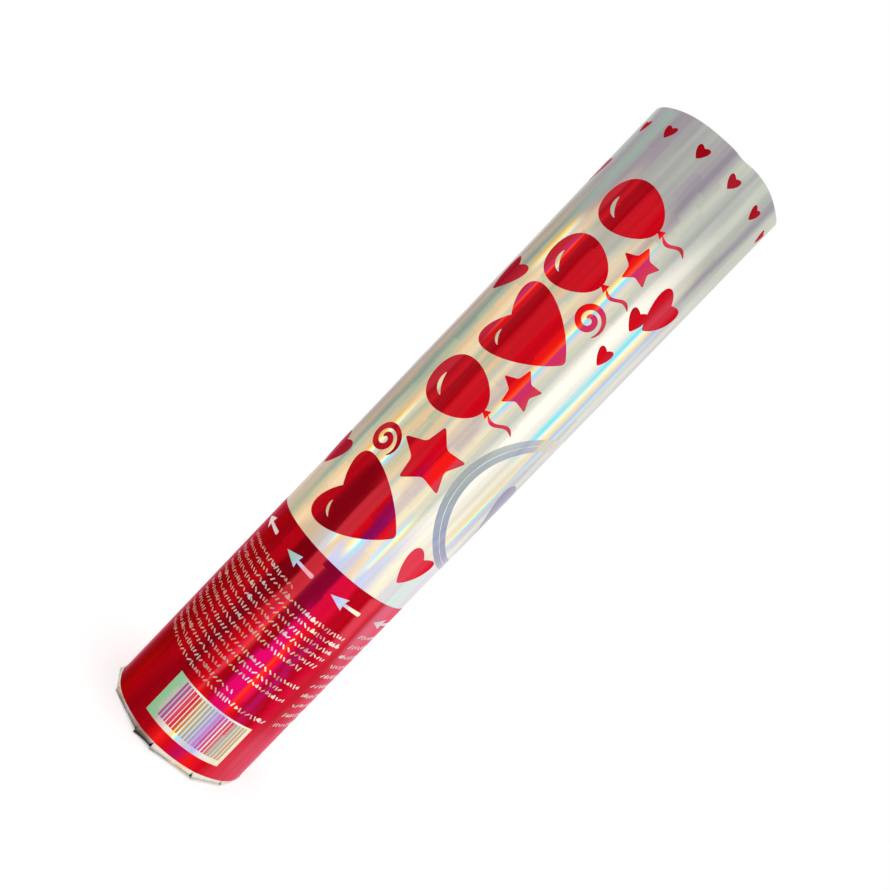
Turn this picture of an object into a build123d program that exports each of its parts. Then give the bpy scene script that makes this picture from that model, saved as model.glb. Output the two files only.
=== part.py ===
from build123d import *
import os
from math import cos, radians, sin, sqrt

# Hand-held twist popper: a foil-wrapped card barrel that turns on a shorter foil-wrapped base.
# The base holds a bottle of compressed air, shut by a stopper in a valve head. Turning the barrel
# carries a cross pin up two helical slots, which draws the stopper out of its sealing land, and
# the air throws the wad, the bundles of paper slips and the muzzle disc out of the barrel.
# Millimetres, +Z along the tube towards the muzzle, origin at the middle of the resting face.

# Overall size
overall_length = 240.0
outer_diameter = 50.8
base_length = 77.5
turning_gap = 0.2

# Card tubes and foil wraps
tube_wall = 1.8
wrap_thickness = 0.25
card_edge_round = 0.8
base_hem_width = 8.0
muzzle_hem_depth = 6.0
base_disc_margin = 5.4
base_disc_thickness = 0.6

# Clearances
glue_line = 0.05
fit_clearance = 0.05
slip_clearance = 0.25
running_gap = 0.3
seat_gap = 0.2
bore_clearance = 0.4

# Cradle and centring ring that hold the bottle
cradle_height = 24.0
cradle_floor = 2.0
cradle_wall = 1.6
cradle_hole_diameter = 14.0
socket_depth = 12.0
cradle_rib_count = 8
cradle_rib_thickness = 1.4
centring_ring_height = 6.0
centring_ring_drop = 4.0
sleeve_wall = 1.4
sleeve_lead = 0.5

# Air bottle
cylinder_room = 3.65
cylinder_wall = 1.2
cylinder_side = 46.0
shoulder_length = 10.0
neck_length = 4.0
bead_diameter = 25.0
bead_overhang = 3.0
bead_height = 2.8
bead_round = 1.1
foot_width = 4.0
dome_rise = 4.0
heel_round = 3.0
shoulder_round = 6.0
neck_round = 3.0
fill_stem_diameter = 4.0
fill_head_diameter = 8.0
fill_head_height = 1.6
fill_bulb_diameter = 6.4
fill_bulb_height = 3.0

# Valve head, its crimp and the clip that keeps the collar on
gasket_thickness = 1.0
flange_thickness = 3.0
ferrule_thickness = 0.7
ferrule_lip_gap = 0.6
ferrule_round = 0.5
flange_ledge = 2.5
tower_wall = 2.6
relief_step = 1.4
land_length = 10.0
washer_thickness = 1.0
clip_thickness = 1.2
clip_groove_depth = 1.0
clip_cover = 2.0
clip_mouth = 7.0
clip_ear_diameter = 3.6
clip_eye_diameter = 1.6
tower_lip = 1.5
tower_chamfer = 0.5

# Stopper, its seals and the cross pin
plug_clearance = 0.15
guide_clearance = 0.2
plug_setback = 0.5
seal_section = 1.5
seal_side_clearance = 0.2
seal_count = 2
first_seal_height = 2.5
seal_spacing = 3.5
vent_margin = 1.25
pin_diameter = 3.0
pin_end_setback = 0.6
pin_chamfer = 0.3
pin_above_shoulder = 5.0
head_above_pin = 8.0
head_core_diameter = 6.0
head_core_web = 2.0
flute_diameter = 2.8
flute_count = 4

# Release collar
twist_angle = 90.0
pin_side_clearance = 0.15
cam_clearance = 0.25
hub_wall = 3.75
slot_bridge = 1.5
web_thickness = 3.0
rim_wall = 1.8
plenum_depth = 8.0
gusset_count = 4
gusset_depth = 5.0
gusset_thickness = 1.6
collar_round = 1.0

# Wad, paper slips and muzzle disc
wad_foam_thickness = 5.0
wad_card_thickness = 1.0
muzzle_disc_thickness = 1.5
muzzle_recess = 7.5
middle_bundle_depth = 19.5
bundle_gap = 0.2
tier_count = 2

# Radii of the shell and what fits inside it, from the outside in
wrap_radius = outer_diameter / 2
tube_radius = wrap_radius - wrap_thickness - glue_line
bore_radius = tube_radius - tube_wall
hem_bore_radius = bore_radius - glue_line - wrap_thickness
glued_radius = bore_radius - glue_line
sleeve_radius = bore_radius - slip_clearance
sleeve_bore = sleeve_radius - sleeve_wall
charge_radius = hem_bore_radius - bore_clearance
cylinder_radius = sleeve_bore - cylinder_room
dome_edge = cylinder_radius - foot_width
card_round = min(card_edge_round, 0.45 * tube_wall)

# Radii of the valve, from the bead of the bottle inwards, and of the hub that turns on its tower
bead_radius = bead_diameter / 2
neck_radius = bead_radius - bead_overhang
neck_bore = neck_radius - cylinder_wall
tower_radius = bead_radius - flange_ledge
relief_radius = tower_radius - tower_wall
land_radius = relief_radius - relief_step
hub_bore = tower_radius + slip_clearance
hub_radius = hub_bore + hub_wall
pin_radius = pin_diameter / 2

# Heights of the shell, from the resting face up
hem_low = base_disc_thickness + glue_line
tube_foot = hem_low + wrap_thickness + glue_line
base_top = base_length - turning_gap / 2
barrel_foot = base_length + turning_gap / 2
barrel_top = overall_length - wrap_thickness - glue_line

# Heights of the bottle and the valve stacked on it
cradle_top = tube_foot + cradle_height
cylinder_foot = tube_foot + cradle_floor + fit_clearance
shoulder_low = cylinder_foot + cylinder_side
neck_low = shoulder_low + shoulder_length
bead_low = neck_low + neck_length
cylinder_top = bead_low + bead_height
flange_low = cylinder_top + gasket_thickness
flange_top = flange_low + flange_thickness
ferrule_top = flange_top + fit_clearance + ferrule_thickness
washer_top = ferrule_top + washer_thickness
land_top = flange_low + land_length

# Heights of the release: the lift carries the lowest seal clear of the land
plug_low = flange_low + plug_setback
lift = land_top - plug_low - first_seal_height + seal_section / 2 + vent_margin
head_low = land_top + seat_gap
pin_rest = head_low + pin_above_shoulder
head_top = pin_rest + head_above_pin
hub_low = washer_top + running_gap
web_low = pin_rest + lift + pin_radius + cam_clearance + slot_bridge
web_top = web_low + web_thickness
clip_low = web_top + running_gap
tower_top = clip_low + clip_thickness + tower_lip
rim_top = tower_top + plenum_depth
sleeve_top = web_low - running_gap

# Heights of the charge: the slips fill the barrel between the wad and the muzzle disc
wad_low = rim_top + seat_gap
wad_card_low = wad_low + wad_foam_thickness + glue_line
slips_low = wad_card_low + wad_card_thickness + seat_gap
muzzle_disc_low = overall_length - muzzle_recess - muzzle_disc_thickness
tier_pitch = (muzzle_disc_low - slips_low) / tier_count
slip_length = tier_pitch - seat_gap


def corner(x, z):
    """The vertex of the sketch being drawn that lies at this radius and height."""
    return vertices().sort_by_distance((x, z))[0]


def radial_plane(angle):
    """The upright plane through the tube's axis whose X runs out at this angle."""
    out = radians(angle)
    return Plane(origin=(0, 0, 0), x_dir=(cos(out), sin(out), 0), z_dir=(sin(out), -cos(out), 0))


def ring_section(inner, outer, low, high):
    """A rectangular half section, to be turned into a ring about the tube's axis."""
    with BuildSketch(Plane.XZ) as section:
        with Locations((inner, low)):
            Rectangle(outer - inner, high - low, align=(Align.MIN, Align.MIN))
    return section.sketch


def bottle_section(inset, top):
    """Half section of the bottle's outside, or of its hollow when inset by the wall."""
    side = cylinder_radius - inset
    neck = neck_radius - inset
    apex = (0, cylinder_foot + dome_rise + inset)
    foot = (dome_edge, cylinder_foot + inset)
    with BuildSketch(Plane.XZ) as section:
        with BuildLine():
            TangentArc(apex, foot, tangent=(1, 0))
            Polyline(
                foot,
                (side, cylinder_foot + inset),
                (side, shoulder_low),
                (neck, neck_low),
                (neck, top),
                (0, top),
                apex,
            )
        make_face()
        fillet(corner(side, cylinder_foot + inset), heel_round - inset)
        fillet(corner(side, shoulder_low), shoulder_round)
        fillet(corner(neck, neck_low), neck_round)
    return section.sketch


# Base: the card tube, its foil with the hem folded under, and the disc that covers the folds
with BuildPart() as base_disc:
    with BuildSketch():
        Circle(wrap_radius - base_disc_margin)
    extrude(amount=base_disc_thickness)

with BuildPart() as base_tube:
    section = ring_section(bore_radius, tube_radius, tube_foot, base_top)
    revolve(section, axis=Axis.Z)
    foot_edges = edges().filter_by(GeomType.CIRCLE).group_by(Axis.Z)[0]
    fillet(foot_edges.sort_by(SortBy.RADIUS)[-1], card_round)

with BuildPart() as base_wrap:
    hem_top = hem_low + wrap_thickness
    inside = wrap_radius - wrap_thickness
    hem_edge = wrap_radius - base_hem_width
    with BuildSketch(Plane.XZ):
        with BuildLine():
            Polyline(
                (wrap_radius, base_top),
                (wrap_radius, hem_low),
                (hem_edge, hem_low),
                (hem_edge, hem_top),
                (inside, hem_top),
                (inside, base_top),
                close=True,
            )
        make_face()
        fillet(corner(wrap_radius, hem_low), card_round + glue_line + wrap_thickness)
        fillet(corner(inside, hem_top), card_round + glue_line)
    revolve(axis=Axis.Z)

# Cradle: a ribbed cup glued into the base tube, with a socket for the foot of the bottle
with BuildPart() as cylinder_cradle:
    floor_top = tube_foot + cradle_floor
    cup_bore = glued_radius - cradle_wall
    socket_bore = cylinder_radius + slip_clearance
    socket_radius = socket_bore + cradle_wall
    hole_radius = cradle_hole_diameter / 2
    with BuildSketch(Plane.XZ):
        with BuildLine():
            Polyline(
                (hole_radius, tube_foot),
                (glued_radius, tube_foot),
                (glued_radius, cradle_top),
                (cup_bore, cradle_top),
                (cup_bore, floor_top),
                (socket_radius, floor_top),
                (socket_radius, floor_top + socket_depth),
                (socket_bore, floor_top + socket_depth),
                (socket_bore, floor_top),
                (hole_radius, floor_top),
                close=True,
            )
        make_face()
    revolve(axis=Axis.Z)
    rib_middle = (socket_radius + cup_bore) / 2
    rib_length = cup_bore - socket_radius + cradle_wall
    with BuildSketch(Plane.XY.offset(floor_top)):
        with PolarLocations(rib_middle, cradle_rib_count):
            Rectangle(rib_length, cradle_rib_thickness)
    extrude(amount=socket_depth)

with BuildPart() as coupling_sleeve:
    section = ring_section(sleeve_bore, sleeve_radius, cradle_top + glue_line, sleeve_top)
    revolve(section, axis=Axis.Z)
    rim_edges = edges().filter_by(GeomType.CIRCLE).group_by(Axis.Z)[-1]
    chamfer(rim_edges.sort_by(SortBy.RADIUS)[-1], sleeve_lead)

with BuildPart() as centring_ring:
    ring_high = shoulder_low - centring_ring_drop
    ring_low = ring_high - centring_ring_height
    section = ring_section(cylinder_radius + slip_clearance, sleeve_bore - glue_line, ring_low, ring_high)
    revolve(section, axis=Axis.Z)

# Bottle: drawn aluminium with a domed foot, a rolled bead at the neck and a rubber fill plug
with BuildPart() as air_cylinder:
    section = bottle_section(0, cylinder_top)
    revolve(section, axis=Axis.Z)
    with BuildSketch(Plane.XZ):
        with Locations((neck_bore, bead_low)):
            Rectangle(bead_radius - neck_bore, bead_height, align=(Align.MIN, Align.MIN))
        fillet(corner(bead_radius, bead_low), bead_round)
        fillet(corner(bead_radius, cylinder_top), bead_round)
    revolve(axis=Axis.Z)
    section = bottle_section(cylinder_wall, cylinder_top)
    revolve(section, axis=Axis.Z, mode=Mode.SUBTRACT)
    with BuildSketch(Plane.XY.offset(cylinder_foot)):
        Circle(fill_stem_diameter / 2 + fit_clearance)
    extrude(amount=dome_rise + 2 * cylinder_wall, mode=Mode.SUBTRACT)

with BuildPart() as fill_valve:
    apex_height = cylinder_foot + dome_rise
    dome_radius = (dome_edge**2 + dome_rise**2) / (2 * dome_rise)
    head_radius = fill_head_diameter / 2
    dome_drop = dome_radius - sqrt(dome_radius**2 - head_radius**2)
    head_high = apex_height - dome_drop - fit_clearance
    bulb_low = apex_height + cylinder_wall + fit_clearance
    stem_radius = fill_stem_diameter / 2
    with BuildSketch(Plane.XZ):
        with BuildLine():
            Polyline(
                (0, head_high - fill_head_height),
                (head_radius, head_high - fill_head_height),
                (head_radius, head_high),
                (stem_radius, head_high),
                (stem_radius, bulb_low),
                (fill_bulb_diameter / 2, bulb_low),
                (stem_radius, bulb_low + fill_bulb_height),
                (0, bulb_low + fill_bulb_height),
                close=True,
            )
        make_face()
    revolve(axis=Axis.Z)

# Valve head: a flange crimped to the bottle and a tower that guides the stopper and its pin
with BuildPart() as neck_gasket:
    section = ring_section(neck_bore, bead_radius - bead_round, cylinder_top, flange_low)
    revolve(section, axis=Axis.Z)

with BuildPart() as valve_head:
    groove_radius = tower_radius - clip_groove_depth
    groove_low = clip_low - fit_clearance
    groove_high = clip_low + clip_thickness + fit_clearance
    with BuildSketch(Plane.XZ):
        with BuildLine():
            Polyline(
                (land_radius, flange_low),
                (bead_radius, flange_low),
                (bead_radius, flange_top),
                (tower_radius, flange_top),
                (tower_radius, groove_low),
                (groove_radius, groove_low),
                (groove_radius, groove_high),
                (tower_radius, groove_high),
                (tower_radius, tower_top),
                (relief_radius, tower_top),
                (relief_radius, land_top),
                (land_radius, land_top),
                close=True,
            )
        make_face()
    revolve(axis=Axis.Z)
    lip_edges = edges().filter_by(GeomType.CIRCLE).group_by(Axis.Z)[-1]
    chamfer(lip_edges, tower_chamfer)
    with BuildSketch(Plane.YZ):
        with Locations((0, pin_rest + lift / 2)):
            SlotCenterToCenter(lift, pin_diameter + 2 * pin_side_clearance, rotation=90)
    extrude(amount=hub_radius, both=True, mode=Mode.SUBTRACT)

with BuildPart() as crimp_ferrule:
    skirt_bore = bead_radius + fit_clearance
    skirt_radius = skirt_bore + ferrule_thickness
    lip_radius = tower_radius + ferrule_lip_gap
    curl_radius = neck_radius + ferrule_lip_gap
    curl_high = bead_low - fit_clearance
    curl_low = curl_high - ferrule_thickness
    lip_low = flange_top + fit_clearance
    with BuildSketch(Plane.XZ):
        with BuildLine():
            Polyline(
                (lip_radius, ferrule_top),
                (skirt_radius, ferrule_top),
                (skirt_radius, curl_low),
                (curl_radius, curl_low),
                (curl_radius, curl_high),
                (skirt_bore, curl_high),
                (skirt_bore, lip_low),
                (lip_radius, lip_low),
                close=True,
            )
        make_face()
        fillet(corner(skirt_radius, ferrule_top), ferrule_round)
        fillet(corner(skirt_radius, curl_low), ferrule_round)
    revolve(axis=Axis.Z)

with BuildPart() as thrust_washer:
    section = ring_section(hub_bore, hub_radius, ferrule_top, washer_top)
    revolve(section, axis=Axis.Z)

with BuildPart() as retaining_clip:
    clip_bore = groove_radius + fit_clearance
    clip_radius = hub_bore + clip_cover
    ear_middle = (clip_bore + clip_radius) / 2
    ear_x = (clip_mouth + clip_ear_diameter) / 2
    ear_y = -sqrt(ear_middle**2 - ear_x**2)
    with BuildSketch(Plane.XY.offset(clip_low)):
        Circle(clip_radius)
        with Locations((0, -clip_radius)):
            Rectangle(clip_mouth, 2 * clip_radius, mode=Mode.SUBTRACT)
        with Locations((-ear_x, ear_y), (ear_x, ear_y)):
            Circle(clip_ear_diameter / 2)
        Circle(clip_bore, mode=Mode.SUBTRACT)
        with Locations((-ear_x, ear_y), (ear_x, ear_y)):
            Circle(clip_eye_diameter / 2, mode=Mode.SUBTRACT)
    extrude(amount=clip_thickness)

# Stopper: a grooved plug with two seals, a fluted guide head and a cross pin through it
with BuildPart() as stopper:
    plug_radius = land_radius - plug_clearance
    guide_radius = relief_radius - guide_clearance
    groove_floor = land_radius - seal_section - 2 * fit_clearance
    groove_half = seal_section / 2 + seal_side_clearance
    core_radius = head_core_diameter / 2
    core_low = pin_rest + pin_radius + head_core_web
    seal_heights = [plug_low + first_seal_height + seal_spacing * i for i in range(seal_count)]
    with BuildSketch(Plane.XZ):
        with BuildLine():
            Polyline(
                (0, plug_low),
                (plug_radius, plug_low),
                (plug_radius, head_low),
                (guide_radius, head_low),
                (guide_radius, head_top),
                (core_radius, head_top),
                (core_radius, core_low),
                (0, core_low),
                close=True,
            )
        make_face()
    revolve(axis=Axis.Z)
    for height in seal_heights:
        section = ring_section(groove_floor, land_radius, height - groove_half, height + groove_half)
        revolve(section, axis=Axis.Z, mode=Mode.SUBTRACT)
    with BuildSketch(Plane.YZ):
        with Locations((0, pin_rest)):
            Circle(pin_radius + fit_clearance)
    extrude(amount=hub_radius, both=True, mode=Mode.SUBTRACT)
    with BuildSketch(Plane.XY.offset(head_low)):
        with PolarLocations(guide_radius, flute_count, start_angle=180 / flute_count):
            Circle(flute_diameter / 2)
    extrude(amount=head_top - head_low, mode=Mode.SUBTRACT)

with BuildPart() as stopper_seals:
    seal_middle = land_radius - fit_clearance - seal_section / 2
    with Locations(*[(0, 0, height) for height in seal_heights]):
        Torus(seal_middle, seal_section / 2)

with BuildPart() as cross_pin:
    pin_reach = hub_radius - pin_end_setback
    with BuildSketch(Plane.YZ.offset(-pin_reach)):
        with Locations((0, pin_rest)):
            Circle(pin_radius)
    extrude(amount=2 * pin_reach)
    chamfer(edges().filter_by(GeomType.CIRCLE), pin_chamfer)

# Helical run of one collar slot: it climbs by the lift while the barrel turns by the twist
slot_width = pin_diameter + 2 * cam_clearance
with BuildPart() as cam_run:
    with BuildLine() as cam_path:
        Helix(
            pitch=lift * 360 / twist_angle,
            height=lift,
            radius=hub_bore + hub_wall / 2,
            center=(0, 0, pin_rest),
            lefthand=True,
        )
    with BuildSketch(Plane(origin=cam_path.line @ 0, x_dir=(1, 0, 0), z_dir=cam_path.line % 0)):
        Rectangle(2 * hub_wall, slot_width)
    sweep(path=cam_path.line, is_frenet=True)

# Collar: a rim glued into the barrel, a web that shuts the bore, and the slotted hub on the tower
with BuildPart() as release_collar:
    rim_bore = glued_radius - rim_wall
    with BuildSketch(Plane.XZ):
        with BuildLine():
            Polyline(
                (hub_bore, hub_low),
                (hub_radius, hub_low),
                (hub_radius, web_low),
                (glued_radius, web_low),
                (glued_radius, rim_top),
                (rim_bore, rim_top),
                (rim_bore, web_top),
                (hub_bore, web_top),
                close=True,
            )
        make_face()
        fillet(corner(rim_bore, web_top), collar_round)
    revolve(axis=Axis.Z)
    gusset_reach = sleeve_bore - running_gap
    gusset_root = hub_bore + hub_wall / 2
    web_middle = web_low + web_thickness / 2
    for index in range(gusset_count):
        with BuildSketch(radial_plane((index + 0.5) * 360 / gusset_count)):
            with BuildLine():
                Polyline(
                    (gusset_root, web_low - gusset_depth),
                    (hub_radius, web_low - gusset_depth),
                    (gusset_reach, web_low),
                    (gusset_reach, web_middle),
                    (gusset_root, web_middle),
                    close=True,
                )
            make_face()
        extrude(amount=gusset_thickness / 2, both=True)
    with PolarLocations(0, 2):
        add(cam_run.part, mode=Mode.SUBTRACT)
    for side in (0, 180):
        for turn, height in ((0, pin_rest), (-twist_angle, pin_rest + lift)):
            out = radians(side + turn)
            with BuildSketch(Plane(origin=(0, 0, height), z_dir=(cos(out), sin(out), 0))):
                Circle(slot_width / 2)
            extrude(amount=hub_radius + hub_wall, mode=Mode.SUBTRACT)

# Barrel: the card tube and its foil, turned in over the muzzle
with BuildPart() as barrel_tube:
    section = ring_section(bore_radius, tube_radius, barrel_foot, barrel_top)
    revolve(section, axis=Axis.Z)
    fillet(edges().filter_by(GeomType.CIRCLE).group_by(Axis.Z)[-1], card_round)

with BuildPart() as barrel_wrap:
    inside = wrap_radius - wrap_thickness
    fold_low = overall_length - wrap_thickness
    hem_foot = overall_length - muzzle_hem_depth
    hem_back = hem_bore_radius + wrap_thickness
    with BuildSketch(Plane.XZ):
        with BuildLine():
            Polyline(
                (wrap_radius, barrel_foot),
                (wrap_radius, overall_length),
                (hem_bore_radius, overall_length),
                (hem_bore_radius, hem_foot),
                (hem_back, hem_foot),
                (hem_back, fold_low),
                (inside, fold_low),
                (inside, barrel_foot),
                close=True,
            )
        make_face()
        outer_round = card_round + glue_line + wrap_thickness
        fillet(corner(wrap_radius, overall_length), outer_round)
        fillet(corner(hem_bore_radius, overall_length), outer_round)
        fillet(corner(hem_back, fold_low), card_round + glue_line)
        fillet(corner(inside, fold_low), card_round + glue_line)
    revolve(axis=Axis.Z)

# Charge: the wad that takes the push, bundles of paper slips in tiers, and the muzzle disc
with BuildPart() as wad_foam:
    with BuildSketch(Plane.XY.offset(wad_low)):
        Circle(charge_radius)
    extrude(amount=wad_foam_thickness)

with BuildPart() as wad_card:
    with BuildSketch(Plane.XY.offset(wad_card_low)):
        Circle(charge_radius)
    extrude(amount=wad_card_thickness)

with BuildPart() as muzzle_disc:
    with BuildSketch(Plane.XY.offset(muzzle_disc_low)):
        Circle(charge_radius)
    extrude(amount=muzzle_disc_thickness)

bundle_radius = charge_radius - bundle_gap
slip_width = sqrt(bundle_radius**2 - (middle_bundle_depth / 2) ** 2) - bundle_gap / 2
side_bundle_low = middle_bundle_depth / 2 + bundle_gap
side_bundle_depth = sqrt(bundle_radius**2 - (slip_width / 2) ** 2) - side_bundle_low
middle_offset = (slip_width + bundle_gap) / 2
side_offset = side_bundle_low + side_bundle_depth / 2
bundle_places = {
    "left": (-middle_offset, 0, middle_bundle_depth),
    "right": (middle_offset, 0, middle_bundle_depth),
    "front": (0, -side_offset, side_bundle_depth),
    "back": (0, side_offset, side_bundle_depth),
}
colour_places = {
    "confetti_red": ("left", "right"),
    "confetti_silver": ("right", "left"),
    "confetti_pink": ("front", "back"),
    "confetti_white": ("back", "front"),
}


def slip_bundles(places):
    """The bundles of one colour: one upright bundle in every tier, the places taken in turn."""
    with BuildPart() as bundles:
        for tier in range(tier_count):
            x, y, depth = bundle_places[places[tier % len(places)]]
            with BuildSketch(Plane.XY.offset(slips_low + tier * tier_pitch)):
                with Locations((x, y)):
                    Rectangle(slip_width, depth)
            extrude(amount=slip_length)
    return bundles


pieces = {
    "base_disc": base_disc,
    "base_tube": base_tube,
    "base_wrap": base_wrap,
    "cylinder_cradle": cylinder_cradle,
    "coupling_sleeve": coupling_sleeve,
    "centring_ring": centring_ring,
    "air_cylinder": air_cylinder,
    "fill_valve": fill_valve,
    "neck_gasket": neck_gasket,
    "valve_head": valve_head,
    "crimp_ferrule": crimp_ferrule,
    "thrust_washer": thrust_washer,
    "retaining_clip": retaining_clip,
    "stopper": stopper,
    "stopper_seals": stopper_seals,
    "cross_pin": cross_pin,
    "release_collar": release_collar,
    "barrel_tube": barrel_tube,
    "barrel_wrap": barrel_wrap,
    "wad_foam": wad_foam,
    "wad_card": wad_card,
    "muzzle_disc": muzzle_disc,
}
for colour, places in colour_places.items():
    pieces[colour] = slip_bundles(places)

os.makedirs("parts", exist_ok=True)
for name, piece in pieces.items():
    piece.part.label = name
    export_step(piece.part, f"parts/{name}.step")
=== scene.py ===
"""Looks of a twist-to-fire confetti popper: foil, print, card, paper and the works inside."""

import logging
import math
import random
from dataclasses import dataclass, field
from enum import Enum

import bmesh
import bpy
from bmesh.types import BMEdge, BMesh, BMVert
from bpy.types import Material, Node, NodeSocket, Object, World
from mathutils import Matrix, Quaternion, Vector, noise


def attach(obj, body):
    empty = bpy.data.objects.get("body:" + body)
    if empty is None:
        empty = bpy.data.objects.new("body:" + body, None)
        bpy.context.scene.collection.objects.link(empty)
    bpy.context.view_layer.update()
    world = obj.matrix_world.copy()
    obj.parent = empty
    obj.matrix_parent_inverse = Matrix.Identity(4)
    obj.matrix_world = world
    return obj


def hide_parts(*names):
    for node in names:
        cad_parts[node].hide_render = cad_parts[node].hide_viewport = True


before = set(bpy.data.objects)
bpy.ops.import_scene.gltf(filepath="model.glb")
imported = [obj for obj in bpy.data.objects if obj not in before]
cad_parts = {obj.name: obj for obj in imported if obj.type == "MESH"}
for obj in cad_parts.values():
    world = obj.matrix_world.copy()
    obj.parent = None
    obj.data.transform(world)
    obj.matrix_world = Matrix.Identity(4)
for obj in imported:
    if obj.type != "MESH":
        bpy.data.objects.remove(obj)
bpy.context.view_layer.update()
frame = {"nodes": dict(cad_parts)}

MM = 0.001
# Vertices nearer than this are one.
MERGE = 0.001 * MM
# Edges that bend more than this stay sharp.
SHARP_ANGLE = math.radians(38.0)
# Degrees in one turn, and where the foil's edges lap, in degrees from the front.
TURN = 360.0
LAP = -110.0
LAP_END = LAP + TURN
# Where most of a soft noise lies.
NOISE_RANGE = (0.3, 0.7)

log = logging.getLogger("popper")

Pair = tuple[float, float]
Triple = tuple[float, float, float]
Colour = Triple
Stop = tuple[float, Colour]
Columns = tuple[Stop, ...]
ClearStop = tuple[float, tuple[float, float, float, float]]
Spectrum = tuple[ClearStop, ...]

WHITE: Colour = (1.0, 1.0, 1.0)


class Body(Enum):
    """The moving bodies that the pieces ride on."""

    BASE = "base"
    BARREL = "barrel"
    CONFETTI = "confetti"


class Slot(Enum):
    """Material slot names passed with the printed pieces and kept with the slips; nothing reads
    them.
    """

    RED_FOIL = "red_foil"
    SILVER_FOIL = "silver_foil"
    RED_PAPER = "red_paper"
    SILVER_PAPER = "silver_paper"
    PINK_PAPER = "pink_paper"
    WHITE_PAPER = "white_paper"


def held(value: float) -> float:
    """A number held between 0 and 1."""
    return max(0.0, min(1.0, value))


def shaded(colour: Colour, gain: float, lift: float = 0.0) -> Colour:
    """A colour made darker or paler, up to full."""
    return tuple(min(1.0, gain * value + lift) for value in colour)


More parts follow.
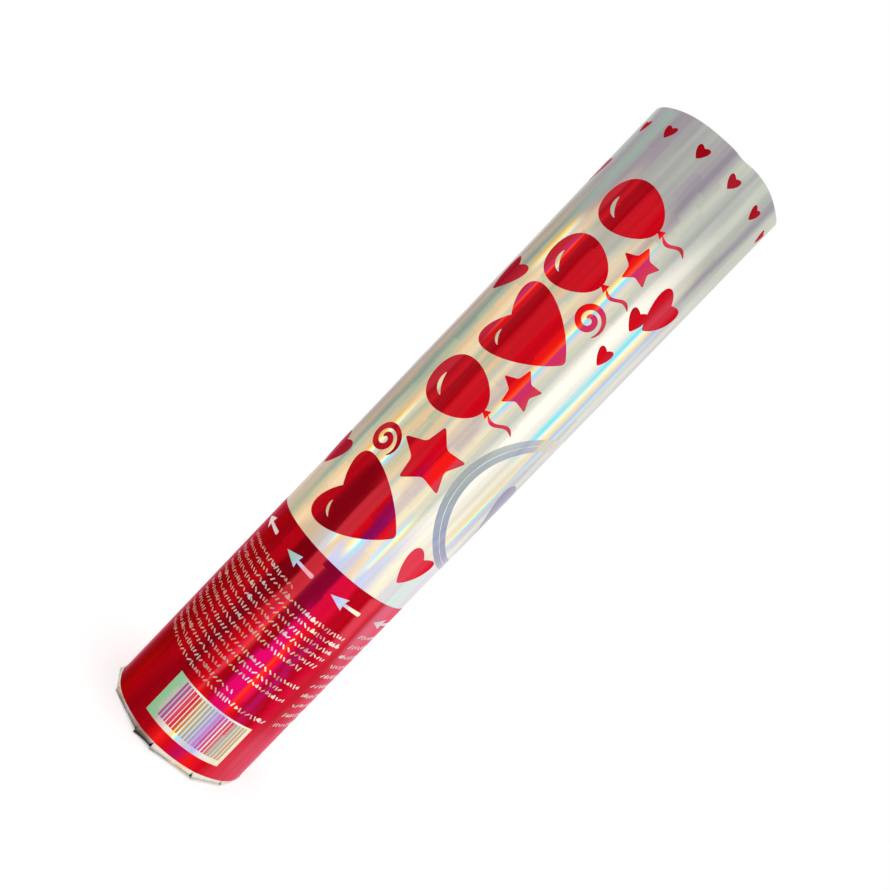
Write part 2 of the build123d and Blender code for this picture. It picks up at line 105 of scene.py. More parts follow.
class NodeBoard:
    """The node tree of a material or a world, filled a node at a time."""

    # The places of a colour mix's amount, its two colours and its result among its sockets.
    MIX_INPUTS = (0, 6, 7)
    MIX_OUTPUT = 2

    def __init__(self, owner: Material | World, shader: str = "Principled BSDF") -> None:
        """Starts on a tree.

        Args:
            owner: The new material or world.
            shader: The name of its shader node.
        """
        owner.use_nodes = True
        self.owner = owner
        self.tree = owner.node_tree
        self.shader = self.tree.nodes[shader]

    def node(
        self, kind: str, inputs: dict[str | int, object] | None = None, **settings: object
    ) -> Node:
        """Adds a node.

        Args:
            kind: The node's type, without its common prefix.
            inputs: Values or sockets for its inputs, by name or place.
            settings: The node's own properties.

        Returns:
            The new node.
        """
        made = self.tree.nodes.new(f"ShaderNode{kind}")
        for key, value in settings.items():
            setattr(made, key, value)
        for key, value in (inputs or {}).items():
            self.feed(made.inputs[key], value)
        return made

    def feed(self, socket: NodeSocket, value: object) -> None:
        """Links a socket to another one, or sets its value.

        Args:
            socket: The socket to feed.
            value: The other socket, or the value.
        """
        if isinstance(value, NodeSocket):
            self.tree.links.new(value, socket)
        else:
            socket.default_value = value

    def surface(self, **values: object) -> None:
        """Feeds the shader's sockets, named with _ for each space."""
        for key, value in values.items():
            self.feed(self.shader.inputs[key.replace("_", " ")], value)

    def place(self) -> NodeSocket:
        """The piece's own coordinates, in metres."""
        return self.node("TexCoord").outputs["Object"]

    def seen(self) -> NodeSocket:
        """Tells the rays that the camera sees by from those that only light things.

        Returns:
            1 on rays from the camera, straight or by way of a reflection, and 0 on the rest.
        """
        path = self.node("LightPath").outputs
        shown = self.math("MAXIMUM", path["Is Camera Ray"], path["Is Glossy Ray"])
        return self.math("MAXIMUM", shown, path["Is Transmission Ray"])

    def math(self, operation: str, *terms: object) -> NodeSocket:
        """The result of an operation on up to three numbers or sockets."""
        made = self.node("Math", dict(enumerate(terms)), operation=operation)
        return made.outputs[0]

    def join(self, x: object, y: object, z: object = 0.0) -> NodeSocket:
        """A vector from three numbers or sockets."""
        return self.node("CombineXYZ", {0: x, 1: y, 2: z}).outputs[0]

    def scaled(
        self, vector: NodeSocket, scale: Triple, turn: Triple = (0.0, 0.0, 0.0)
    ) -> NodeSocket:
        """A vector scaled along each axis and then turned."""
        made = self.node("Mapping", {"Vector": vector, "Rotation": turn, "Scale": scale})
        return made.outputs[0]

    def noise(
        self, vector: NodeSocket, detail: float = 2.0, rough: float = 0.5, flat: bool = False
    ) -> NodeSocket:
        """Soft noise, one unit of the vector to a feature.

        Args:
            vector: Where it is read.
            detail: How many finer layers it has.
            rough: How strong the finer layers are.
            flat: Whether the third number of the vector is left out.

        Returns:
            A number from 0 to 1.
        """
        inputs = {"Vector": vector, "Scale": 1.0, "Detail": detail, "Roughness": rough}
        made = self.node("TexNoise", inputs, noise_dimensions="2D" if flat else "3D")
        return made.outputs[0]

    def span(
        self, value: object, start: float, end: float, low: float = 0.0, high: float = 1.0
    ) -> NodeSocket:
        """A smooth step.

        Args:
            value: What it reads.
            start: The value at which it starts.
            end: The value at which it ends.
            low: What it gives up to the start.
            high: What it gives from the end on.

        Returns:
            A number from low to high.
        """
        limits = {"From Min": start, "From Max": end, "To Min": low, "To Max": high}
        made = self.node("MapRange", {"Value": value, **limits}, interpolation_type="SMOOTHSTEP")
        return made.outputs[0]

    def ramp(self, value: object, stops: Columns | Spectrum) -> Node:
        """A colour ramp.

        Args:
            value: What it reads.
            stops: Places from 0 to 1 with their colours. A fourth number says how much covers.

        Returns:
            The ramp, whose outputs are its colour and how much it covers.
        """
        made = self.node("ValToRGB", {"Fac": value})
        elements = made.color_ramp.elements
        for place, _ in stops[2:]:
            elements.new(place)
        for element, (place, colour) in zip(elements, stops):
            element.position = place
            element.color = (*colour, 1.0)[:4]
        return made

    def between(
        self, value: object, limits: Pair, first: Colour, second: Colour
    ) -> NodeSocket:
        """One colour up to the first limit of a value, another from the second, a blend between."""
        return self.ramp(value, tuple(zip(limits, (first, second)))).outputs["Color"]

    def mix(self, amount: object, first: object, second: object, blend: str = "MIX") -> NodeSocket:
        """Two colours mixed.

        Args:
            amount: How much there is of the second, from 0 to 1.
            first: The colour below.
            second: The colour above.
            blend: How the second is laid over the first.

        Returns:
            The colour.
        """
        made = self.node("Mix", data_type="RGBA", blend_type=blend, clamp_factor=True)
        for place, value in zip(self.MIX_INPUTS, (amount, first, second)):
            if isinstance(value, tuple):
                value = (*value, 1.0)
            self.feed(made.inputs[place], value)
        return made.outputs[self.MIX_OUTPUT]

    def bump(self, height: NodeSocket, depth: float, strength: float) -> None:
        """Roughens the surface by a height that goes from 0 to 1 over a depth in metres."""
        inputs = {"Height": height, "Distance": depth, "Strength": strength}
        self.feed(self.shader.inputs["Normal"], self.node("Bump", inputs).outputs[0])


@dataclass
class TubeMap:
    """The tube laid flat: degrees round it from the front, and millimetres above its foot."""

    board: NodeBoard
    degrees: NodeSocket
    height: NodeSocket

    @classmethod
    def unrolled(cls, board: NodeBoard) -> "TubeMap":
        """Lays the tube flat, opened at the lap.

        Args:
            board: The tree to fill.

        Returns:
            The map.
        """
        middle = (LAP + LAP_END) / 2
        turned = board.scaled(board.place(), (1.0, 1.0, 1.0), (0.0, 0.0, -math.radians(middle)))
        parts = board.node("SeparateXYZ", {0: turned}).outputs
        angle = board.math("ARCTAN2", parts[0], board.math("MULTIPLY", parts[1], -1.0))
        degrees = board.math("MULTIPLY_ADD", angle, math.degrees(1.0), middle)
        return cls(board, degrees, board.math("DIVIDE", parts[2], MM))

    def bands(self, size: Pair) -> NodeSocket:
        """Soft bands along the tube.

        Args:
            size: A band's width and length.

        Returns:
            A number from 0 to 1.
        """
        across = self.board.math("DIVIDE", self.degrees, size[0])
        along = self.board.math("DIVIDE", self.height, size[1])
        return self.board.noise(self.board.join(across, along), detail=1.0, flat=True)

    def tiles(self, size: Pair, stagger: float) -> NodeSocket:
        """A random number from -0.5 to 0.5 for each tile, laid like bricks.

        Args:
            size: A tile's width and length.
            stagger: How much of a tile each column is shifted by.

        Returns:
            The random number.
        """
        column = self.board.math("FLOOR", self.board.math("DIVIDE", self.degrees, size[0]))
        along = self.board.math("DIVIDE", self.height, size[1])
        row = self.board.math("FLOOR", self.board.math("MULTIPLY_ADD", column, stagger, along))
        spot = self.board.join(column, row)
        value = self.board.node("TexWhiteNoise", {"Vector": spot}, noise_dimensions="2D")
        return self.board.math("SUBTRACT", value.outputs["Value"], 0.5)


@dataclass(frozen=True)
class Finish:
    """What a surface is made of."""

    name: str

    def dress(self, board: NodeBoard) -> None:
        """Fills a node tree.

        Args:
            board: The tree to fill.
        """
        raise NotImplementedError

    def material(self) -> Material:
        """Makes the finish's material, or finds the one that is made.

        Returns:
            The material.
        """
        made = bpy.data.materials.get(self.name)
        if made is None:
            made = bpy.data.materials.new(self.name)
            self.dress(NodeBoard(made))
        return made


@dataclass(frozen=True)
class Glint:
    """A painted glint: a line of split light along the tube, backwards where its width is negative.

    Its hues are the film's own unless it has others.
    """

    angle: float
    width: float
    low: float
    high: float
    fade: float = 22.0
    hues: Spectrum = ()


@dataclass(frozen=True)
class Wash:
    """Columns of colour that come in along the tube.

    There are none of them at one height, and their full share at another.
    """

    none_at: float
    full_at: float
    share: float
    columns: Columns


@dataclass(frozen=True)
class HoloFilm(Finish):
    """Embossed metal film: columns of colour, fine streaks, tiles and painted glints of split
    light.

    Bands and tiles have a width in degrees round the tube and a length in millimetres along it.
    """

    columns: Columns
    spectrum: Spectrum
    glints: tuple[Glint, ...] = ()
    washes: tuple[Wash, ...] = ()
    wander: float = 6.0
    wander_band: Pair = (22.0, 55.0)
    tile: Pair = (8.0, 9.0)
    tile_shift: float = 3.0
    tile_stagger: float = 0.37
    light: float = 0.9
    light_band: Pair = (4.2, 130.0)
    light_range: Pair = (0.32, 0.62)
    # The painted glints show through in patches: the least share that shows, the patches' size and
    # their limits.
    glint_share: float = 0.55
    glint_share_band: Pair = (9.0, 34.0)
    glint_share_range: Pair = (0.25, 0.5)
    roughness: Pair = (0.24, 0.32)
    edge_tint: Colour = WHITE
    coat: float = 0.05
    coat_roughness: float = 0.06
    wrinkle_scale: Triple = (260.0, 260.0, 60.0)
    wrinkle_depth: float = 0.06 * MM
    wrinkle_strength: float = 0.4
    # Painted shade in creases: the attribute that says where, and the shade's colour.
    creases: str = ""
    crease_shade_colour: Colour = (0.02, 0.018, 0.014)

    def dress(self, board: NodeBoard) -> None:
        """Fills a node tree.

        Args:
            board: The tree to fill.
        """
        tube = TubeMap.unrolled(board)
        streaks = tube.bands(self.light_band)
        shade = board.between(streaks, self.light_range, (self.light,) * 3, WHITE)
        colour = board.mix(1.0, self.stained(tube), shade, "MULTIPLY")
        colour = self.split_light(tube, colour)
        # Painted shade: darkened where the piece's attribute says, in a hem's grooves and along its
        # lower edge.
        if self.creases:
            crease = board.node("Attribute", attribute_name=self.creases).outputs["Fac"]
            colour = board.mix(crease, colour, self.crease_shade_colour)
        board.surface(
            Base_Color=colour,
            Metallic=1.0,
            Roughness=board.span(streaks, *NOISE_RANGE, *self.roughness),
            Specular_Tint=(*self.edge_tint, 1.0),
            Coat_Weight=self.coat,
            Coat_Roughness=self.coat_roughness,
        )
        wrinkles = board.noise(board.scaled(board.place(), self.wrinkle_scale))
        board.bump(wrinkles, self.wrinkle_depth, self.wrinkle_strength)

    def stained(self, tube: TubeMap) -> NodeSocket:
        """The columns of colour, with the washes over them.

        They wander along the tube and step at the tiles.

        Args:
            tube: The tube laid flat.

        Returns:
            The colour.
        """
        board = tube.board
        drift = tube.bands(self.wander_band)
        looked = board.math("MULTIPLY_ADD", drift, 2.0 * self.wander, tube.degrees)
        step = tube.tiles(self.tile, self.tile_stagger)
        looked = board.math("MULTIPLY_ADD", step, self.tile_shift, looked)
        share = board.math("DIVIDE", board.math("SUBTRACT", looked, LAP + self.wander), TURN)

        def laid(columns: Columns) -> NodeSocket:
            """The colour of some columns."""
            stops = tuple(((angle - LAP) / TURN, tint) for angle, tint in columns)
            return board.ramp(share, stops).outputs["Color"]

        colour = laid(self.columns)
        for wash in self.washes:
            fade = wash.full_at - wash.none_at
            ragged = board.math("MULTIPLY_ADD", drift, fade, tube.height)
            start, end = wash.none_at + fade / 2, wash.full_at + fade / 2
            amount = board.span(ragged, start, end, 0.0, wash.share)
            colour = board.mix(amount, colour, laid(wash.columns))
        return colour

    def split_light(self, tube: TubeMap, colour: NodeSocket) -> NodeSocket:
        """Lays the painted glints, lines of split light, over a colour.

        Args:
            tube: The tube laid flat.
            colour: The colour below.

        Returns:
            The colour with its lines.
        """
        board = tube.board
        # Painted glints: each line of split light is painted into the colour, dimmed in patches.
        glint_share = board.span(tube.bands(self.glint_share_band), *self.glint_share_range, self.glint_share, 1.0)
        for glint in self.glints:
            wide = abs(glint.width)
            across = board.math("SUBTRACT", tube.degrees, glint.angle - wide / 2)
            across = board.math("DIVIDE", across, wide)
            if glint.width < 0.0:
                across = board.math("SUBTRACT", 1.0, across)
            band = board.ramp(across, glint.hues or self.spectrum)
            start = board.span(tube.height, glint.low, glint.low + glint.fade)
            end = board.span(tube.height, glint.high - glint.fade, glint.high, 1.0, 0.0)
            inside = board.math("MULTIPLY", start, end)
            cover = board.math("MULTIPLY", inside, band.outputs["Alpha"])
            cover = board.math("MULTIPLY", cover, glint_share)
            colour = board.mix(cover, colour, band.outputs["Color"])
        return colour


@dataclass(frozen=True)
class Card(Finish):
    """Wound or pressed card: fibres, flecks and, on a tube, the spiral seam of its winding."""

    colour: Colour
    fleck: Colour
    seam_pitch: float = 0.0
    seam_width: Pair = (0.004, 0.012)
    fibre_scale: Triple = (900.0, 900.0, 260.0)
    fibre_turn: Triple = (0.0, 0.0, 0.4)
    fleck_range: Pair = (0.58, 0.72)
    fleck_cover: float = 0.7
    cloud_scale: Triple = (70.0, 70.0, 70.0)
    dark: float = 0.8
    pale: float = 1.12
    roughness: Pair = (0.78, 0.92)
    tooth: float = 0.05 * MM
    tooth_strength: float = 0.6

    def dress(self, board: NodeBoard) -> None:
        """Fills a node tree.

        Args:
            board: The tree to fill.
        """
        place = board.place()
        spots = board.scaled(place, self.fibre_scale, self.fibre_turn)
        fibres = board.noise(spots, detail=4.0, rough=0.65)
        clouds = board.noise(board.scaled(place, self.cloud_scale), detail=3.0)
        dark, pale = shaded(self.colour, self.dark), shaded(self.colour, self.pale)
        colour = board.between(clouds, NOISE_RANGE, dark, pale)
        flecks = board.span(fibres, *self.fleck_range, 0.0, self.fleck_cover)
        colour = board.mix(flecks, colour, self.fleck)
        height = fibres
        if self.seam_pitch:
            parts = board.node("SeparateXYZ", {0: place}).outputs
            turn = board.math("ARCTAN2", parts[0], parts[1])
            rise = board.math("DIVIDE", parts[2], self.seam_pitch)
            turns = board.math("MULTIPLY_ADD", turn, 1.0 / math.tau, rise)
            away = board.math("ABSOLUTE", board.math("WRAP", turns, 0.5, -0.5))
            seam = board.span(away, *self.seam_width)
            colour = board.mix(board.math("SUBTRACT", 1.0, seam), colour, dark)
            height = board.math("ADD", fibres, seam)
        board.surface(
            Base_Color=colour, Roughness=board.span(fibres, *NOISE_RANGE, *self.roughness)
        )
        board.bump(height, self.tooth, self.tooth_strength)


@dataclass(frozen=True)
class Paper(Finish):
    """Thin coloured paper with visible fibres, or metal film on paper."""

    colour: Colour
    metallic: float = 0.0
    roughness: Pair = (0.7, 0.88)
    fibre_scale: Triple = (420.0, 2400.0, 150.0)
    fibre_cover: float = 0.6
    pale_fibres: Pair = (0.5, 0.7)
    dark_fibres: Pair = (0.45, 0.3)
    slip_scale: Triple = (20.0, 2000.0, 14.0)
    slip_range: Pair = (0.25, 0.75)
    dark: float = 0.72
    pale: Pair = (1.15, 0.02)
    tooth: float = 0.03 * MM
    tooth_strength: float = 0.6

    def dress(self, board: NodeBoard) -> None:
        """Fills a node tree.

        Args:
            board: The tree to fill.
        """
        place = board.place()
        fibres = board.noise(board.scaled(place, self.fibre_scale), detail=3.0, rough=0.6)
        slips = board.noise(board.scaled(place, self.slip_scale), detail=0.0)
        dark, pale = shaded(self.colour, self.dark), shaded(self.colour, *self.pale)
        colour = board.between(slips, self.slip_range, dark, pale)
        for limits, tint in ((self.pale_fibres, pale), (self.dark_fibres, dark)):
            colour = board.mix(board.span(fibres, *limits, 0.0, self.fibre_cover), colour, tint)
        board.surface(
            Base_Color=colour,
            Metallic=self.metallic,
            Roughness=board.span(fibres, *NOISE_RANGE, *self.roughness),
        )
        board.bump(fibres, self.tooth, self.tooth_strength)


@dataclass(frozen=True)
class Moulded(Finish):
    """Moulded plastic or rubber: slight flow marks in its colour and a fine grain."""

    colour: Colour
    roughness: Pair
    grain_scale: Triple = (1400.0, 1400.0, 1400.0)
    grain: float = 0.02 * MM
    grain_strength: float = 0.5
    flow_scale: Triple = (60.0, 60.0, 130.0)
    flow_turn: Triple = (0.3, 0.2, 0.0)
    dark: float = 0.84
    pale: Pair = (1.1, 0.004)
    sheen: float = 0.0

    def dress(self, board: NodeBoard) -> None:
        """Fills a node tree.

        Args:
            board: The tree to fill.
        """
        place = board.place()
        spots = board.scaled(place, self.flow_scale, self.flow_turn)
        flow = board.noise(spots, detail=3.0, rough=0.6)
        grain = board.noise(board.scaled(place, self.grain_scale))
        dark, pale = shaded(self.colour, self.dark), shaded(self.colour, *self.pale)
        board.surface(
            Base_Color=board.between(flow, NOISE_RANGE, dark, pale),
            Roughness=board.span(grain, *NOISE_RANGE, *self.roughness),
            Sheen_Weight=self.sheen,
        )
        board.bump(grain, self.grain, self.grain_strength)


@dataclass(frozen=True)
class Metal(Finish):
    """Drawn or turned metal with fine marks round its axis or along it."""

    colour: Colour
    roughness: Pair
    mark_scale: Triple = (30.0, 30.0, 2600.0)
    mark: float = 0.01 * MM
    mark_strength: float = 0.5
    tarnish_scale: Triple = (110.0, 110.0, 110.0)
    tarnish_range: Pair = (0.3, 0.65)
    tarnished: float = 0.78

    def dress(self, board: NodeBoard) -> None:
        """Fills a node tree.

        Args:
            board: The tree to fill.
        """
        place = board.place()
        marks = board.noise(board.scaled(place, self.mark_scale), detail=3.0, rough=0.6)
        tarnish = board.noise(board.scaled(place, self.tarnish_scale), detail=3.0)
        dark = shaded(self.colour, self.tarnished)
        board.surface(
            Base_Color=board.between(tarnish, self.tarnish_range, dark, self.colour),
            Metallic=1.0,
            Roughness=board.span(marks, *NOISE_RANGE, *self.roughness),
        )
        board.bump(marks, self.mark, self.mark_strength)


@dataclass(frozen=True)
class Foam(Finish):
    """Closed-cell foam with its skinned cells showing."""

    colour: Colour
    cell_scale: Triple = (900.0, 900.0, 900.0)
    wall_range: Pair = (0.02, 0.2)
    # How dark the painted shade in the cells' hollows is.
    dark: float = 0.66
    rough_range: Pair = (0.0, 0.3)
    roughness: Pair = (0.75, 0.95)
    depth: float = 0.15 * MM
    strength: float = 0.7

    def dress(self, board: NodeBoard) -> None:
        """Fills a node tree.

        Args:
            board: The tree to fill.
        """
        inputs = {"Vector": board.scaled(board.place(), self.cell_scale), "Scale": 1.0}
        cells = board.node("TexVoronoi", inputs, feature="DISTANCE_TO_EDGE").outputs[0]
        # Painted shade: the cells' hollows are darker than their walls, and the bump sinks them.
        wall = board.span(cells, *self.wall_range)
        board.surface(
            Base_Color=board.mix(wall, self.colour, shaded(self.colour, self.dark)),
            Roughness=board.span(cells, *self.rough_range, *self.roughness),
        )
        board.bump(board.math("SUBTRACT", 1.0, wall), self.depth, self.strength)


# Colours of bare film; some also serve as painted shade or painted highlight in the columns below.
ROSE: Colour = (0.60, 0.50, 0.48)
UMBER: Colour = (0.33, 0.25, 0.20)
SAND: Colour = (0.52, 0.39, 0.27)
OLIVE: Colour = (0.37, 0.39, 0.25)
FERN: Colour = (0.47, 0.52, 0.37)
MOSS: Colour = (0.25, 0.32, 0.27)
PEACH: Colour = (0.84, 0.58, 0.34)
CREAM: Colour = (0.90, 0.73, 0.46)
BUTTER: Colour = (0.90, 0.80, 0.56)
PEARL: Colour = (0.86, 0.82, 0.72)
MINT: Colour = (0.62, 0.74, 0.66)
ICE: Colour = (0.58, 0.57, 0.66)
TEAL: Colour = (0.30, 0.48, 0.42)
AZURE: Colour = (0.48, 0.56, 0.88)
SAGE: Colour = (0.27, 0.50, 0.28)
MIST: Colour = (0.36, 0.47, 0.40)
DUSK: Colour = (0.31, 0.27, 0.33)
SILT: Colour = (0.43, 0.44, 0.42)
PALE: Colour = (0.57, 0.60, 0.51)
SLATE: Colour = (0.32, 0.37, 0.39)
HAZE: Colour = (0.35, 0.38, 0.52)
HEATHER: Colour = (0.34, 0.31, 0.43)
LILAC: Colour = (0.44, 0.34, 0.66)
OCHRE: Colour = (0.54, 0.36, 0.12)

# Colours of red film and of ink on film; some also serve as painted shade, painted reflection or
# painted highlight in the columns below.
BLUSH: Colour = (0.52, 0.20, 0.17)
PINK: Colour = (0.66, 0.17, 0.24)
RUBY: Colour = (0.38, 0.006, 0.012)
CHERRY: Colour = (0.62, 0.009, 0.018)
WINE: Colour = (0.26, 0.028, 0.034)
VIOLET: Colour = (0.35, 0.10, 0.28)
FUCHSIA: Colour = (0.66, 0.06, 0.17)
ORCHID: Colour = (0.52, 0.13, 0.46)
PETAL: Colour = (0.80, 0.38, 0.42)
BRICK: Colour = (0.52, 0.022, 0.034)
CERISE: Colour = (0.64, 0.003, 0.034)
MULBERRY: Colour = (0.20, 0.001, 0.022)
AUBERGINE: Colour = (0.17, 0.002, 0.09)
MAROON: Colour = (0.17, 0.0, 0.004)
GARNET: Colour = (0.27, 0.0, 0.005)
CRIMSON: Colour = (0.41, 0.001, 0.006)
SCARLET: Colour = (0.62, 0.002, 0.010)
FLAME: Colour = (0.92, 0.010, 0.008)
MAGENTA: Colour = (0.74, 0.002, 0.13)
PLUM: Colour = (0.44, 0.006, 0.10)
CORAL: Colour = (0.68, 0.05, 0.08)

# Partly the film's own colours, partly painted light: darker from -88 to -63 degrees on the left is
# painted shade, and pearl from 24 to 36 degrees is a painted highlight.
SILVER_COLUMNS: Columns = (
    (LAP, PEARL), (-98.0, SAND), (-88.0, ROSE), (-79.0, ROSE), (-71.0, UMBER), (-63.0, SAND),
    (-54.0, MOSS), (-49.0, FERN), (-43.0, PEACH), (-37.0, CREAM), (-31.0, FERN), (-26.0, PEACH),
    (-21.0, FERN), (-15.0, PEACH), (-10.0, PALE), (-4.0, CREAM), (2.0, ROSE), (9.0, BUTTER),
    (17.0, PALE), (24.0, PEARL), (36.0, PEARL), (50.0, BUTTER), (58.0, ICE), (66.0, PEARL),
    (78.0, ICE), (106.0, OLIVE), (122.0, PEACH), (146.0, MINT), (174.0, ICE), (206.0, OLIVE),
    (226.0, PEACH), (LAP_END, PEARL),
)
MUZZLE_COLUMNS: Columns = (
    (LAP, PALE), (-97.0, DUSK), (-85.0, MIST), (-74.0, MIST), (-64.0, DUSK), (-54.0, MIST),
    (-42.0, DUSK), (-24.0, SILT), (-10.0, SILT), (2.0, DUSK), (12.0, PALE), (22.0, SILT),
    (33.0, PALE), (46.0, SILT), (53.0, DUSK), (60.0, PALE), (74.0, PALE), (100.0, SILT),
    (130.0, MIST), (160.0, DUSK), (190.0, PALE), (220.0, SILT), (LAP_END, PALE),
)
FOOT_COLUMNS: Columns = (
    (LAP, ROSE), (-70.0, SAND), (-52.0, OLIVE), (-40.0, PEACH), (-26.0, SAND), (-14.0, ICE),
    (-8.0, PEACH), (-2.0, AZURE), (4.0, ICE), (9.0, PEACH), (14.0, PEARL), (18.0, AZURE),
    (26.0, ICE), (34.0, BUTTER), (46.0, ICE), (58.0, MINT), (70.0, ICE), (110.0, CREAM),
    (140.0, ICE), (180.0, PEACH), (215.0, AZURE), (LAP_END, ROSE),
)
# Colours across the painted glints; the fourth number is how much each covers.
SILVER_SPECTRUM: Spectrum = (
    (0.0, (*PEACH, 0.0)), (0.2, (1.0, 0.76, 0.16, 0.95)), (0.38, (1.0, 0.96, 0.70, 1.0)),
    (0.56, (0.20, 0.82, 0.94, 1.0)), (0.76, (0.60, 0.62, 0.90, 0.7)), (1.0, (*ICE, 0.0)),
)
GOLD_SPECTRUM: Spectrum = (
    (0.0, (*SAND, 0.0)), (0.3, (0.80, 0.46, 0.10, 0.9)), (0.5, (1.0, 0.84, 0.32, 1.0)),
    (0.64, (0.95, 0.95, 0.76, 0.9)), (0.8, (0.52, 0.68, 0.66, 0.6)), (1.0, (*FERN, 0.0)),
)
PASTEL_SPECTRUM: Spectrum = (
    (0.0, (*PEACH, 0.0)), (0.22, (1.0, 0.84, 0.40, 0.9)), (0.42, (1.0, 0.97, 0.80, 1.0)),
    (0.62, (0.14, 0.80, 0.94, 1.0)), (0.8, (0.44, 0.88, 0.95, 0.6)), (1.0, (*PEARL, 0.0)),
)
AZURE_SPECTRUM: Spectrum = (
    (0.0, (*BUTTER, 0.0)), (0.3, (0.46, 0.56, 0.95, 0.8)), (0.6, (0.62, 0.88, 0.84, 0.8)),
    (1.0, (*PEARL, 0.0)),
)
# Partly the red film's own colours, partly painted light: wine and maroon from -86 to -62 degrees
# on the left are painted shade, and pink towards 72 degrees at the right edge is a painted
# reflection; the foot and top washes below do the same.
RED_COLUMNS: Columns = (
    (LAP, CRIMSON), (-100.0, SCARLET), (-86.0, WINE), (-74.0, WINE), (-62.0, MAROON),
    (-36.0, CRIMSON), (-28.0, GARNET), (-22.0, MAROON), (-16.0, CRIMSON), (-9.0, SCARLET),
    (-5.0, CORAL), (-2.0, CRIMSON), (2.0, GARNET), (5.0, MAGENTA), (12.0, MAGENTA), (17.0, FLAME),
    (23.0, CRIMSON), (28.0, PLUM), (33.0, CRIMSON), (39.0, CERISE), (52.0, BRICK), (72.0, PINK),
    (100.0, GARNET), (118.0, SCARLET), (128.0, MAGENTA), (140.0, CRIMSON), (156.0, SCARLET),
    (176.0, MAROON), (192.0, SCARLET), (204.0, MAGENTA), (222.0, CRIMSON), (LAP_END, CRIMSON),
)
RED_FOOT_COLUMNS: Columns = (
    (LAP, CRIMSON), (-98.0, FLAME), (-84.0, WINE), (-76.0, WINE), (-64.0, MAROON), (-50.0, CRIMSON),
    (-34.0, GARNET), (-14.0, CRIMSON), (-3.0, FLAME), (5.0, SCARLET), (13.0, PLUM), (20.0, FLAME),
    (32.0, SCARLET), (46.0, CORAL), (72.0, PINK), (110.0, GARNET), (150.0, SCARLET),
    (190.0, CRIMSON), (220.0, FLAME), (LAP_END, CRIMSON),
)
RED_TOP_COLUMNS: Columns = (
    (LAP, CRIMSON), (-100.0, GARNET), (-86.0, WINE), (-66.0, WINE), (-56.0, GARNET),
    (-38.0, GARNET), (-36.0, CRIMSON), (-29.0, CRIMSON), (-27.0, MAROON), (-15.0, MAROON),
    (-13.0, BRICK), (-4.0, BRICK), (-3.0, MULBERRY), (6.0, MULBERRY), (8.0, CERISE), (20.0, CERISE),
    (24.0, CRIMSON), (36.0, CRIMSON), (40.0, CORAL), (45.0, CORAL), (51.0, BRICK), (58.0, PINK),
    (72.0, PINK), (100.0, MAROON), (130.0, CRIMSON), (150.0, MAGENTA), (180.0, GARNET),
    (210.0, SCARLET), (LAP_END, CRIMSON),
)
# Colours across the painted glints of the red film and of the ink.
RED_SPECTRUM: Spectrum = (
    (0.0, (*SCARLET, 0.0)), (0.22, (0.86, 0.05, 0.006, 0.9)), (0.45, (*FLAME, 0.8)),
    (0.70, (*MAGENTA, 0.8)), (1.0, (*PLUM, 0.0)),
)
INK_SPECTRUM: Spectrum = (
    (0.0, (*SCARLET, 0.0)), (0.3, (*FLAME, 0.9)), (0.44, (1.0, 0.10, 0.02, 0.95)),
    (0.54, (0.60, 0.03, 0.17, 0.95)), (0.8, (0.64, 0.03, 0.11, 0.85)), (1.0, (*CORAL, 0.0)),
)
# Partly the ink's own colours, partly painted light: wine from -86 to -58 degrees on the left is
# painted shade, and coral from 11 to 18 degrees, and from 20 to 46 at the foot below, is a painted
# highlight showing through the ink.
INK_COLUMNS: Columns = (
    (LAP, RUBY), (-86.0, WINE), (-60.0, WINE), (-50.0, BRICK), (-40.0, BRICK), (-38.0, RUBY),
    (-30.0, CHERRY), (-28.0, RUBY), (-20.0, CRIMSON), (-18.0, CHERRY), (-8.0, CHERRY),
    (-6.0, SCARLET), (1.0, SCARLET), (3.0, FLAME), (8.0, FLAME), (11.0, CORAL), (18.0, CORAL),
    (27.0, RUBY), (34.0, SCARLET), (47.0, CORAL), (62.0, CHERRY), (110.0, RUBY), (128.0, CHERRY),
    (144.0, RUBY), (152.0, FLAME), (160.0, GARNET), (166.0, CHERRY), (176.0, FLAME), (190.0, RUBY),
    (215.0, CHERRY), (LAP_END, RUBY),
)
INK_FOOT_COLUMNS: Columns = (
    (LAP, RUBY), (-86.0, WINE), (-58.0, WINE), (-46.0, CRIMSON), (-33.0, CRIMSON), (-31.0, GARNET),
    (-25.0, MAROON), (-16.0, MAROON), (-14.0, BRICK), (-6.0, BRICK), (-5.0, SCARLET),
    (-1.0, CRIMSON), (0.0, AUBERGINE), (5.0, AUBERGINE), (7.0, SCARLET), (15.0, CHERRY),
    (20.0, CORAL), (46.0, CORAL), (62.0, CHERRY), (120.0, GARNET), (146.0, MAROON), (156.0, BRICK),
    (172.0, SCARLET), (180.0, AUBERGINE), (186.0, CHERRY), (LAP_END, RUBY),
)
INK_TOP_COLUMNS: Columns = (
    (LAP, RUBY), (-20.0, GARNET), (30.0, RUBY), (140.0, GARNET), (LAP_END, RUBY),
)
BARE_COLUMNS: Columns = (
    (LAP, ICE), (-66.0, ROSE), (-46.0, ROSE), (-32.0, TEAL), (-23.0, TEAL), (-17.0, AZURE),
    (-12.0, PETAL), (-2.0, PETAL), (12.0, ICE), (17.0, AZURE), (24.0, ICE), (30.0, PEARL),
    (40.0, BUTTER), (60.0, ROSE), (90.0, AZURE), (130.0, BUTTER), (170.0, TEAL), (210.0, ROSE),
    (LAP_END, ICE),
)
PANEL_COLUMNS: Columns = (
    (LAP, SAGE), (-19.0, SAGE), (-14.0, ROSE), (-2.0, PEARL), (12.0, ICE), (18.0, AZURE),
    (27.0, PEARL), (38.0, BUTTER), (LAP_END, SAGE),
)
